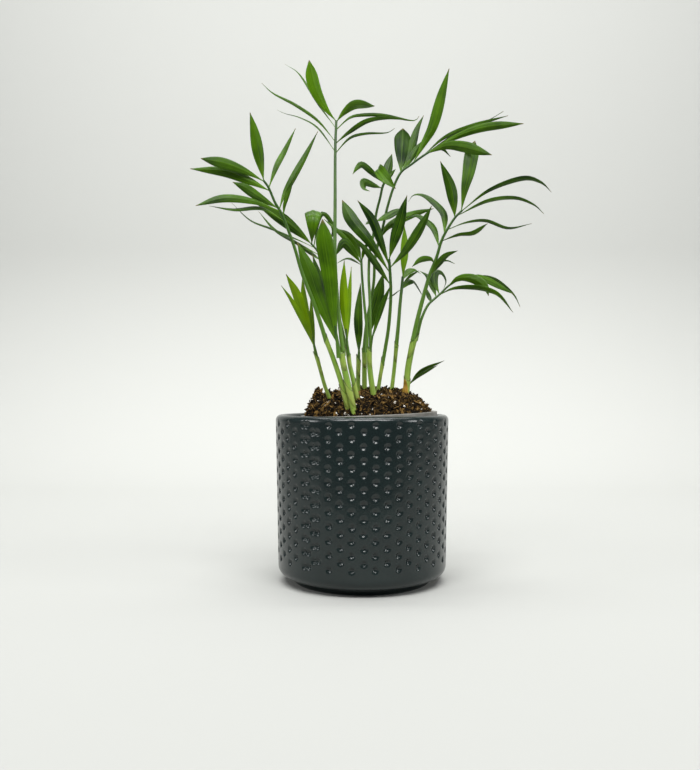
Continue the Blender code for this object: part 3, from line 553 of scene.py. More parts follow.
# %% Strewing tree
LEAST_FACING_UP = 0.02
MOSTLY_SMALL = 2.2
SIZE_SEED_STEP = 7.0
TONE_SEED_STEP = 3.0


def strewing_tree():
    tree, given = new_tree(
        "strew_crumbs", Crumb="Object", Density="Float", Smallest="Float", Largest="Float",
        Tilt="Float", Sink="Float", Lowest="Float", Seed="Int", Material="Material",
    )
    place = add(tree, "ShaderNodeSeparateXYZ", {"Vector": add(tree, "GeometryNodeInputPosition")})
    facing = add(tree, "ShaderNodeSeparateXYZ", {"Vector": add(tree, "GeometryNodeInputNormal")})
    on_top = add(tree, "FunctionNodeBooleanMath", {
        0: add(tree, MATHS, {0: place.outputs["Z"], 1: given["Lowest"]}, operation="GREATER_THAN"),
        1: add(tree, MATHS, {0: facing.outputs["Z"], 1: LEAST_FACING_UP}, operation="GREATER_THAN"),
    }, operation="AND")
    points = add(tree, "GeometryNodeDistributePointsOnFaces", {
        "Mesh": given["Geometry"], "Selection": on_top, "Density": given["Density"],
        "Seed": given["Seed"],
    })
    tilt = add(tree, VECTORS, {
        0: add(tree, "FunctionNodeRandomValue", {
            "Min": (-1, -1, 0), "Max": (1, 1, 0), "Seed": given["Seed"],
        }, data_type="FLOAT_VECTOR"),
        "Scale": given["Tilt"],
    }, operation="SCALE")
    spin = add(tree, "FunctionNodeRandomValue", {
        "Min": (0, 0, 0), "Max": (0, 0, 2 * math.pi), "Seed": given["Seed"],
    }, data_type="FLOAT_VECTOR")
    leaned = add(tree, "FunctionNodeRotateRotation", {
        "Rotation": points.outputs["Rotation"],
        "Rotate By": add(tree, "FunctionNodeEulerToRotation", {"Euler": tilt}),
    }, rotation_space="LOCAL")
    spun = add(tree, "FunctionNodeRotateRotation", {
        "Rotation": leaned, "Rotate By": add(tree, "FunctionNodeEulerToRotation", {"Euler": spin}),
    }, rotation_space="LOCAL")
    chance = add(tree, "FunctionNodeRandomValue", {
        "Seed": add(tree, MATHS, {0: given["Seed"], 1: SIZE_SEED_STEP}, operation="ADD"),
    })
    size = add(tree, "ShaderNodeMapRange", {
        "Value": add(tree, MATHS, {0: chance, 1: MOSTLY_SMALL}, operation="POWER"),
        "To Min": given["Smallest"], "To Max": given["Largest"],
    })
    down = add(tree, MATHS, {0: given["Sink"], 1: -1.0}, operation="MULTIPLY")
    sunk = add(tree, "GeometryNodeSetPosition", {
        "Geometry": points.outputs["Points"],
        "Offset": add(tree, VECTORS, {
            0: points.outputs["Normal"], "Scale": down,
        }, operation="SCALE"),
    })
    strewn = add(tree, "GeometryNodeInstanceOnPoints", {
        "Points": sunk, "Rotation": spun, "Scale": size,
        "Instance": add(tree, "GeometryNodeObjectInfo", {
            "Object": given["Crumb"],
        }).outputs["Geometry"],
    })
    toned = add(tree, "GeometryNodeStoreNamedAttribute", {
        "Geometry": strewn, "Name": "tone",
        "Value": add(tree, "FunctionNodeRandomValue", {
            "Seed": add(tree, MATHS, {0: given["Seed"], 1: TONE_SEED_STEP}, operation="ADD"),
        }),
    }, domain="INSTANCE")
    end_tree(tree, toned, given["Material"])
    return tree


STREWING_TREE = strewing_tree()
print("Strewing tree nodes:", len(STREWING_TREE.nodes))

# %% Crumbs, strewn over the heap
CRUMB_SIDES = 5
CRUMB_SWAY = 0.3
CRUMB_THINNEST = 0.75
CRUMB_THICKEST = 1.15
STREWN_BELOW_RIM = 3.0


def crumb(name, length, width, height, steps, seed):
    """A closed, uneven stick: rings of five points with a point at each end."""
    rng = random.Random(seed)
    vertices = [Vector((-length / 2, 0, 0))]
    for step in range(steps):
        x = length * ((step + 0.5) / steps - 0.5)
        sideways = rng.uniform(-CRUMB_SWAY, CRUMB_SWAY) * width
        sway = Vector((0, sideways, rng.uniform(-CRUMB_SWAY, CRUMB_SWAY) * height))
        for side in range(CRUMB_SIDES):
            turn = 2 * math.pi * side / CRUMB_SIDES
            out = Vector((x, math.cos(turn) * width / 2, math.sin(turn) * height / 2))
            vertices.append(out * rng.uniform(CRUMB_THINNEST, CRUMB_THICKEST) + sway)
    vertices.append(Vector((length / 2, 0, 0)))
    last = len(vertices) - 1
    faces = []
    for side in range(CRUMB_SIDES):
        other = (side + 1) % CRUMB_SIDES
        faces.append((0, 1 + other, 1 + side))
        for step in range(steps - 1):
            low = 1 + step * CRUMB_SIDES
            high = low + CRUMB_SIDES
            faces.append((low + side, low + other, high + other, high + side))
        faces.append((last - CRUMB_SIDES + side, last - CRUMB_SIDES + other, last))
    made = new_object(name, mesh_of([vertex * MM for vertex in vertices], faces=faces))
    made.hide_render = True
    return made


def strew(name, grain, material, density, smallest, largest, tilt, sink, seed):
    """Strew one sort of crumb over the heap; the density is per square centimetre."""
    strewn = run_tree(
        STREWING_TREE, name, heap_source.copy(), Crumb=grain, Density=density * 1e4,
        Smallest=smallest, Largest=largest, Tilt=tilt, Sink=sink * MM,
        Lowest=(LINER_RIM_HEIGHT - STREWN_BELOW_RIM) * MM, Seed=seed, Material=material,
    )
    bpy.data.objects.remove(grain, do_unlink=True)
    hand_over(strewn, "potting_soil")


CHIP = crumb("chip", length=4.0, width=1.2, height=0.7, steps=2, seed=1)
FINE = crumb("fine", length=1.6, width=0.6, height=0.45, steps=2, seed=2)
FIBRE = crumb("fibre", length=5.0, width=0.22, height=0.22, steps=5, seed=3)
GRAIN = crumb("grain", length=2.0, width=1.7, height=1.5, steps=3, seed=4)
strew(
    "bark_chips", CHIP, BARK, density=45, smallest=0.3, largest=1.4, tilt=1.0, sink=-0.1, seed=11,
)
strew(
    "bark_fines", FINE, BARK, density=130, smallest=0.4, largest=1.2, tilt=1.2, sink=0.0, seed=12,
)
strew(
    "coir_fibres", FIBRE, COIR, density=6, smallest=0.4, largest=1.3, tilt=0.5, sink=-0.2, seed=13,
)
strew(
    "perlite_grains", GRAIN, PERLITE, density=1.4, smallest=0.4, largest=1.0, tilt=0.8, sink=0.0,
    seed=14,
)

# %% [markdown]
# ## Leaf and stem materials
#
# A palm leaflet is a thin waxy blade with many veins that run from its base to its tip. The wax
# gives a satin sheen, so the roughness is near 0.36 and the IOR is that of a leaf's skin, 1.45.
# Subsurface scattering would suit a living leaf, but in a blade this thin it only adds speckles,
# so the colour alone tells how young a leaf is. The sweep below stores how far along and how far
# across the blade each point lies. The veins, the paler midrib and base and the dry tip follow
# those two numbers, so they bend with the leaf. A blade that has just unfolded is still a fresh
# yellow green, which a tone above 1 asks for.

# %% Leaf blades
STREAKS_ACROSS = 9.0
STREAKS_ALONG = 1.2
STREAKS_APART = 50.0
NOISE_WEIGHT = 1.25
NOISE_OFFSET = -1.05
TONE_WEIGHT = 0.7
FRESH_TONE = 1.0
MIDRIB_HALF_WIDTH = 0.09
PALE_BASE_LENGTH = 0.3
DRY_TIP_START = 0.955
DRY_TIP_FULL = 0.99
VEIN_WAVES = 38.0


def make_leaf_skin(name, dark, light, pale, fresh):
    skin, tree = new_material(name)
    along = add(tree, "ShaderNodeAttribute", attribute_name="along").outputs["Fac"]
    across = add(tree, "ShaderNodeAttribute", attribute_name="across").outputs["Fac"]
    tone = add(tree, "ShaderNodeAttribute", attribute_name="tone").outputs["Fac"]
    place = add(tree, "ShaderNodeTexCoord").outputs["Object"]
    streaks = add(tree, "ShaderNodeTexNoise", {
        "Vector": add(tree, "ShaderNodeCombineXYZ", {
            "X": add(tree, MATHS, {0: across, 1: STREAKS_ACROSS}, operation="MULTIPLY"),
            "Y": add(tree, MATHS, {0: along, 1: STREAKS_ALONG}, operation="MULTIPLY"),
            "Z": add(tree, MATHS, {0: tone, 1: STREAKS_APART}, operation="MULTIPLY"),
        }),
        "Scale": 1.0, "Detail": 2.0,
    })
    patches = add(tree, "ShaderNodeTexNoise", {"Vector": place, "Scale": 90.0, "Detail": 2.0})
    uneven = add(tree, MATHS, {
        0: add(tree, MATHS, {0: streaks, 1: patches}, operation="ADD"),
        1: NOISE_WEIGHT, 2: NOISE_OFFSET,
    }, operation="MULTIPLY_ADD")
    # Each blade's tone holds its age and its painted light and shade, and moves its colour between
    # the dark and the light one.
    share = add(tree, MATHS, {
        0: tone, 1: TONE_WEIGHT, 2: uneven,
    }, operation="MULTIPLY_ADD", use_clamp=True)
    mature = add(tree, "ShaderNodeMix", {
        "Factor": share, "A": linear(dark), "B": linear(light),
    }, data_type="RGBA")
    green = add(tree, "ShaderNodeMix", {
        "Factor": add(tree, MATHS, {0: tone, 1: FRESH_TONE}, operation="GREATER_THAN"),
        "A": mature.outputs[2], "B": linear(fresh),
    }, data_type="RGBA")
    midrib = add(tree, "ShaderNodeMapRange", {
        "Value": add(tree, MATHS, {0: across}, operation="ABSOLUTE"),
        "From Min": 0.0, "From Max": MIDRIB_HALF_WIDTH, "To Min": 0.55, "To Max": 0.0,
    })
    base = add(tree, "ShaderNodeMapRange", {
        "Value": along, "From Min": 0.0, "From Max": PALE_BASE_LENGTH,
        "To Min": 0.9, "To Max": 0.0,
    })
    ribbed = add(tree, "ShaderNodeMix", {
        "Factor": add(tree, MATHS, {0: midrib, 1: base}, operation="MAXIMUM"),
        "A": green.outputs[2], "B": linear(pale),
    }, data_type="RGBA")
    dry = add(tree, "ShaderNodeMapRange", {
        "Value": along, "From Min": DRY_TIP_START, "From Max": DRY_TIP_FULL,
    })
    colour = add(tree, "ShaderNodeMix", {
        "Factor": dry, "A": ribbed.outputs[2], "B": linear("#6b6038"),
    }, data_type="RGBA")
    veins = add(tree, MATHS, {
        0: add(tree, MATHS, {0: across, 1: VEIN_WAVES}, operation="MULTIPLY"),
    }, operation="SINE")
    bump = add(tree, "ShaderNodeBump", {"Height": veins, "Strength": 0.35, "Distance": 0.06 * MM})
    surface = add(tree, "ShaderNodeBsdfPrincipled", {
        "Base Color": colour, "Roughness": 0.36, "IOR": 1.45, "Specular IOR Level": 0.22,
        "Normal": bump,
    })
    add(tree, "ShaderNodeOutputMaterial", {"Surface": surface})
    return skin


LEAF_SKIN = make_leaf_skin(
    "waxy_mature_leaf", dark="#0b2600", light="#4d7600", pale="#567c14", fresh="#5a8000",
)
YOUNG_SKIN = make_leaf_skin(
    "waxy_young_leaf", dark="#467000", light="#779a00", pale="#84a026", fresh="#779a00",
)
print("Leaf materials:", LEAF_SKIN.name, YOUNG_SKIN.name)

# %% Stems
def make_stem_skin(name, low, high, old):
    """A round green stem: one colour at its foot, another at its top, brown in its scars."""
    skin, tree = new_material(name)
    along = add(tree, "ShaderNodeAttribute", attribute_name="along").outputs["Fac"]
    scar = add(tree, "ShaderNodeAttribute", attribute_name="scar").outputs["Fac"]
    place = add(tree, "ShaderNodeTexCoord").outputs["Object"]
    stretched = add(tree, "ShaderNodeMapping", {"Vector": place, "Scale": (1.0, 1.0, 0.15)})
    fibres = add(tree, "ShaderNodeTexNoise", {"Vector": stretched, "Scale": 1200.0, "Detail": 3.0})
    uneven = add(tree, MATHS, {0: fibres, 1: 0.8, 2: -0.4}, operation="MULTIPLY_ADD")
    share = add(tree, MATHS, {0: along, 1: uneven}, operation="ADD", use_clamp=True)
    green = add(tree, "ShaderNodeMix", {
        "Factor": share, "A": linear(low), "B": linear(high),
    }, data_type="RGBA")
    colour = add(tree, "ShaderNodeMix", {
        "Factor": scar, "A": green.outputs[2], "B": linear(old),
    }, data_type="RGBA")
    bump = add(tree, "ShaderNodeBump", {"Height": fibres, "Strength": 0.3, "Distance": 0.05 * MM})
    surface = add(tree, "ShaderNodeBsdfPrincipled", {
        "Base Color": colour, "Roughness": 0.42, "IOR": 1.45, "Normal": bump,
        "Subsurface Weight": 0.2, "Subsurface Radius": (0.5, 1.0, 0.2),
        "Subsurface Scale": 1.0 * MM,
    })
    add(tree, "ShaderNodeOutputMaterial", {"Surface": surface})
    return skin


CANE_SKIN = make_stem_skin("smooth_green_cane", low="#94a94a", high="#628a24", old="#2a1a0a")
STALK_SKIN = make_stem_skin("leaf_stalk", low="#557a22", high="#25480e", old="#2a1a0a")
print("Stem materials:", CANE_SKIN.name, STALK_SKIN.name)

# %% [markdown]
# ## Sweep along a path
#
# Every stem and every blade follows a path. The script gives each path as a line of vertices that
# carry attributes: which way its upper face looks, its half width, and how far along it is. One
# tree turns the lines into curves, sets their normals from the attribute, and sweeps a round
# profile along the stems and a blade profile along the leaflets. The blade profile is a circle
# that is squashed to a thin lens, folded at the midrib and pleated. Its thickness, its fold and
# the depth of its pleats are shares of the blade's half width. A flat strip of faces would be
# lighter, but it would have no thickness and no edge to catch the light.

# %% Sweep tree
PROFILE_POINTS = 28
STEM_SIDES = 12


def sweep_tree():
    tree, given = new_tree(
        "sweep_leaf", Thickness="Float", Fold="Float", Pleats="Float", PleatDepth="Float",
        Blade="Material", Stem="Material",
    )
    upper = add(tree, "GeometryNodeInputNamedAttribute", {
        "Name": "upper",
    }, data_type="FLOAT_VECTOR")
    width = add(tree, "GeometryNodeInputNamedAttribute", {"Name": "half_width"})
    round_path = add(tree, "GeometryNodeInputNamedAttribute", {"Name": "round"})
    paths = add(tree, "GeometryNodeSetCurveNormal", {
        "Curve": add(tree, "GeometryNodeMeshToCurve", {"Mesh": given["Geometry"]}),
        "Normal": upper,
    }, mode="FREE")
    split = add(tree, "GeometryNodeSeparateGeometry", {
        "Geometry": paths,
        "Selection": add(tree, MATHS, {0: round_path, 1: 0.5}, operation="GREATER_THAN"),
    }, domain="CURVE")
    circle = add(tree, "GeometryNodeCurvePrimitiveCircle", {
        "Resolution": PROFILE_POINTS, "Radius": 1.0,
    })
    spot = add(tree, "ShaderNodeSeparateXYZ", {"Vector": add(tree, "GeometryNodeInputPosition")})
    marked = add(tree, "GeometryNodeStoreNamedAttribute", {
        "Geometry": circle, "Name": "across", "Value": spot.outputs["Y"],
    })
    off_middle = add(tree, MATHS, {0: spot.outputs["Y"]}, operation="ABSOLUTE")
    fold = add(tree, MATHS, {0: off_middle, 1: given["Fold"]}, operation="MULTIPLY")
    wave = add(tree, MATHS, {
        0: add(tree, MATHS, {0: spot.outputs["Y"], 1: given["Pleats"]}, operation="MULTIPLY"),
    }, operation="COSINE")
    pleat = add(tree, MATHS, {0: wave, 1: given["PleatDepth"]}, operation="MULTIPLY")
    lens = add(tree, MATHS, {0: spot.outputs["X"], 1: given["Thickness"]}, operation="MULTIPLY")
    lifted = add(tree, MATHS, {0: lens, 1: pleat}, operation="ADD")
    lifted = add(tree, MATHS, {0: lifted, 1: fold}, operation="SUBTRACT")
    blade_profile = add(tree, "GeometryNodeSetPosition", {
        "Geometry": marked,
        "Position": add(tree, "ShaderNodeCombineXYZ", {"X": lifted, "Y": spot.outputs["Y"]}),
    })
    blades = add(tree, "GeometryNodeCurveToMesh", {
        "Curve": split.outputs["Inverted"], "Profile Curve": blade_profile, "Scale": width,
        "Fill Caps": True,
    })
    round_profile = add(tree, "GeometryNodeCurvePrimitiveCircle", {
        "Resolution": STEM_SIDES, "Radius": 1.0,
    })
    stems = add(tree, "GeometryNodeCurveToMesh", {
        "Curve": split.outputs["Selection"], "Profile Curve": round_profile, "Scale": width,
        "Fill Caps": True,
    })
    both = add(tree, "GeometryNodeJoinGeometry")
    for material, sweep in (("Blade", blades), ("Stem", stems)):
        skin = add(tree, "GeometryNodeSetMaterial", {
            "Geometry": sweep, "Material": given[material],
        })
        tree.links.new(skin.outputs[0], both.inputs[0])
    real = add(tree, "GeometryNodeRealizeInstances", {"Geometry": both})
    add(tree, "NodeGroupOutput", {"Geometry": real})
    return tree


SWEEP_TREE = sweep_tree()
print("Sweep tree nodes:", len(SWEEP_TREE.nodes))

# %% [markdown]
# ## Paths with a frame
#
# A path is a smooth curve through a few points. The direction that its upper face looks is carried
# from one point to the next without extra twist, as a leaf grows. A roll turns the whole blade
# about its own length.

# %% Path helpers
SPLINE_STEPS = 12
STALK_SAMPLES = 60


class Paths:
    """Lines of vertices with the attributes that the sweep tree reads."""

    def __init__(self):
        self.points = []
        self.edges = []
        self.values = {"half_width": [], "along": [], "tone": [], "round": []}
        self.upper = []

    def add(self, path, uppers, widths, tone, is_round):
        first = len(self.points)
        last = len(path) - 1
        self.points += path
        self.upper += uppers
        self.edges += [(first + i, first + i + 1) for i in range(last)]
        self.values["half_width"] += [width * MM for width in widths]
        self.values["along"] += [i / last for i in range(last + 1)]
        self.values["tone"] += [tone] * (last + 1)
        self.values["round"] += [float(is_round)] * (last + 1)

    def mesh(self):
        made = mesh_of(self.points, edges=self.edges)
        for name, values in self.values.items():
            made.attributes.new(name, "FLOAT", "POINT").data.foreach_set("value", values)
        flat = [number for upper in self.upper for number in upper]
        made.attributes.new("upper", "FLOAT_VECTOR", "POINT").data.foreach_set("vector", flat)
        return made


def smooth_path(points, count):
    """Evenly spread points along a Catmull-Rom curve through the given ones, in metres."""
    knots = [Vector(point) * MM for point in points]
    padded = [knots[0] * 2 - knots[1], *knots, knots[-1] * 2 - knots[-2]]
    dense = []
    for before, start, end, after in zip(padded, padded[1:], padded[2:], padded[3:]):
        for step in range(SPLINE_STEPS):
            t = step / SPLINE_STEPS
            dense.append(0.5 * (
                2 * start + (end - before) * t
                + (2 * before - 5 * start + 4 * end - after) * t ** 2
                + (3 * start - before - 3 * end + after) * t ** 3
            ))
    dense.append(knots[-1])
    lengths = [0.0]
    for here, there in zip(dense, dense[1:]):
        lengths.append(lengths[-1] + (there - here).length)
    spread = []
    leg = 0
    for i in range(count):
        goal = lengths[-1] * i / (count - 1)
        while leg < len(dense) - 2 and lengths[leg + 1] < goal:
            leg += 1
        part = (goal - lengths[leg]) / (lengths[leg + 1] - lengths[leg])
        spread.append(dense[leg].lerp(dense[leg + 1], part))
    return spread


def uppers_along(path, roll):
    """The direction of the upper face at each point, first rolled away from the front."""
    uppers = []
    upper = None
    for i in range(len(path)):
        tangent = (path[min(i + 1, len(path) - 1)] - path[max(i - 1, 0)]).normalized()
        if upper is None:
            upper = Vector((0, -1, 0))
            upper.rotate(Matrix.Rotation(math.radians(roll), 3, tangent))
        upper = (upper - tangent * upper.dot(tangent)).normalized()
        uppers.append(upper.copy())
    return uppers


def rooted(points, length):
    """The same path, in millimetres, with a straight piece of a given length before it."""
    path = [Vector(point) for point in points]
    return [path[0] + (path[0] - path[1]).normalized() * length, *path]


def point_below_end(points, distance):
    """The place on a stalk at a distance below its end, in millimetres."""
    backwards = [point / MM for point in reversed(smooth_path(points, STALK_SAMPLES))]
    left = distance
    for here, there in zip(backwards, backwards[1:]):
        length = (there - here).length
        if left <= length:
            return here.lerp(there, left / length)
        left -= length
    return backwards[-1]


BLADE_BASE_POWER = 1.15
BLADE_TIP_POWER = 0.95


def blade_width(t, belly):
    """Share of the full width along a lance-shaped blade that is widest at the belly."""
    if t < belly:
        return math.sin(math.pi / 2 * t / belly) ** BLADE_BASE_POWER
    return max(math.cos(math.pi / 2 * (t - belly) / (1 - belly)), 0.0) ** BLADE_TIP_POWER


def path_length(points):
    return sum(math.dist(here, there) for here, there in zip(points, points[1:]))


print("A tenth of the way up, a blade has", round(blade_width(0.1, 0.5), 2), "of its width")

# %% [markdown]
# ## Canes
#
# Ten young canes come out of the soil. A young cane is a stack of sheaths, the closed bases of its
# leaves, one inside the other. A sheath ends in a slanting lip that dries to a dark line. The first
# table gives each cane's radius at its foot and at its top, and the points that it passes. The
# second gives each lip's highest point, how far it slants down, and to which side, in degrees
# from the front to the right. A painted ring would look like bamboo, because it couldn't stand
# off the cane, so every lip is a thin shell of its own.

# %% Cane table
CANE_BURIED = 12.0
CANES = {
    "cane_1": (1.0, 0.95, (-17, -14, 96.5), (-19.5, -15, 103.5), (-22, -16, 112.5),
               (-23.8, -16.5, 119)),
    "cane_2": (1.45, 1.15, (-8, -28, 94), (-11, -28, 105.5), (-14.5, -28, 116),
               (-18.7, -28, 127)),
    "cane_3": (1.65, 1.5, (-5, -30.5, 93), (-7.5, -30, 104), (-9.5, -29.5, 113),
               (-10.9, -29.2, 120)),
    "cane_4": (1.35, 1.05, (-2, -25, 94), (-4.5, -24, 105), (-6.5, -23, 113.5),
               (-7.5, -22.5, 120.5)),
    "cane_5": (1.25, 1.15, (-2, 3, 102), (-2, 3, 110), (-1.8, 3, 117)),
    "cane_6": (1.4, 1.3, (1.5, 10, 102), (1.5, 10, 112), (1.5, 9.5, 123.5)),
    "cane_7": (1.55, 1.3, (6, -12, 98), (4.5, -12, 107), (3.7, -11.7, 115.5),
               (3.5, -11.5, 122.5)),
    "cane_8": (1.15, 0.95, (8.5, -3, 100.5), (9.8, -3, 109), (11, -3, 116)),
    "cane_9": (1.1, 1.0, (16, 1, 101), (17.5, 1, 114), (18.5, 0, 126)),
    "cane_10": (1.65, 1.65, (23.5, -5, 101), (24.2, -5, 111.5), (26, -5, 121.5), (27.8, -5, 129)),
}
SHEATH_LIPS = {
    "cane_1": ((121, 3.6, 70),),
    "cane_2": ((129.5, 4.2, -60), (104, 5.0, 60)),
    "cane_3": ((122.8, 3.4, 10), (106.5, 6.0, 60)),
    "cane_4": ((123.5, 4.4, 75), (107.3, 4.2, -55)),
    "cane_5": ((120.5, 4.0, 70),),
    "cane_6": ((124.5, 2.6, 20),),
    "cane_7": ((124.5, 3.6, 60),),
    "cane_8": ((119, 5.0, 50),),
    "cane_9": ((127.5, 2.8, 60),),
    "cane_10": ((131, 5.0, -70), (109, 3.0, 30)),
}
print("Canes:", len(CANES), "with", sum(map(len, SHEATH_LIPS.values())), "sheath lips")

# %% Canes and their sheath lips
CANE_STATIONS = 40
CANE_END_STATIONS = 2
CANE_END_SHARE = 0.45
CANE_FOOT_LEVEL = 92.0
CANE_SPAN = 45.0
LIP_SIDES = 18
LIP_LEVELS = 8
LIP_LENGTH = 9.0
LIP_REST = 0.04
LIP_STAND_OFF = 0.24
cane_rng = random.Random(8)


def point_at_height(path, height):
    """The place on a rising path, in millimetres, at a height; past its end it goes straight on."""
    last = len(path) - 2
    for i in range(last + 1):
        here, there = path[i] / MM, path[i + 1] / MM
        if height <= there.z or i == last:
            return here.lerp(there, (height - here.z) / (there.z - here.z))


def add_lip(lips, path, radius, top, slant, side):
    """A thin closed shell round the cane that ends in a slanting lip, in the cane's colours."""
    levels = [(math.sqrt(i / LIP_LEVELS), True) for i in range(LIP_LEVELS + 1)]
    levels += [(math.sqrt(i / LIP_LEVELS), False) for i in range(LIP_LEVELS, -1, -1)]
    first = len(lips["points"])
    for share, outside in levels:
        out = radius + (LIP_REST + LIP_STAND_OFF * share ** 2 if outside else 0.0)
        for k in range(LIP_SIDES):
            turn = 2 * math.pi * k / LIP_SIDES
            fall = (1 + math.cos(turn - math.radians(side))) / 2
            height = top - slant * fall - LIP_LENGTH * (1 - share)
            outward = Vector((math.sin(turn), -math.cos(turn), 0))
            lips["points"].append((point_at_height(path, height) + outward * out) * MM)
            lips["scar"].append(float(share == 1))
            lips["along"].append((height - LIP_LENGTH - CANE_FOOT_LEVEL) / CANE_SPAN)
    for loop in range(len(levels)):
        low = first + loop * LIP_SIDES
        high = first + (loop + 1) % len(levels) * LIP_SIDES
        for k in range(LIP_SIDES):
            other = (k + 1) % LIP_SIDES
            lips["faces"].append((low + k, low + other, high + other, high + k))


def make_cane(name):
    bottom, top, *points = CANES[name]
    path = smooth_path(rooted(points, CANE_BURIED), CANE_STATIONS)
    widths = []
    for i in range(CANE_STATIONS):
        closing = min(1.0, (CANE_STATIONS - 1 - i) / CANE_END_STATIONS)
        width = bottom + (top - bottom) * i / (CANE_STATIONS - 1)
        widths.append(width * (CANE_END_SHARE + (1 - CANE_END_SHARE) * math.sqrt(closing)))
    lines = Paths()
    lines.add(path, uppers_along(path, 0), widths, cane_rng.random(), True)
    cane = run_tree(SWEEP_TREE, name + "_stem", lines.mesh(), Stem=CANE_SKIN)
    hand_over(cane, "cane_green", name)
    for height, slant, side in SHEATH_LIPS[name]:
        share = (height - points[0][2]) / (points[-1][2] - points[0][2])
        add_lip(SHEATHS, path, bottom + (top - bottom) * min(share, 1.0), height, slant, side)


SHEATHS = {"points": [], "faces": [], "scar": [], "along": []}
for cane_name in CANES:
    make_cane(cane_name)
sheath_lips = new_object("sheath_lips", mesh_of(SHEATHS["points"], faces=SHEATHS["faces"]))
for mark in ("scar", "along"):
    sheath_lips.data.attributes.new(mark, "FLOAT", "POINT").data.foreach_set("value", SHEATHS[mark])
sheath_lips.data.materials.append(CANE_SKIN)
sheath_lips.data.shade_smooth()
hand_over(sheath_lips, "cane_green")
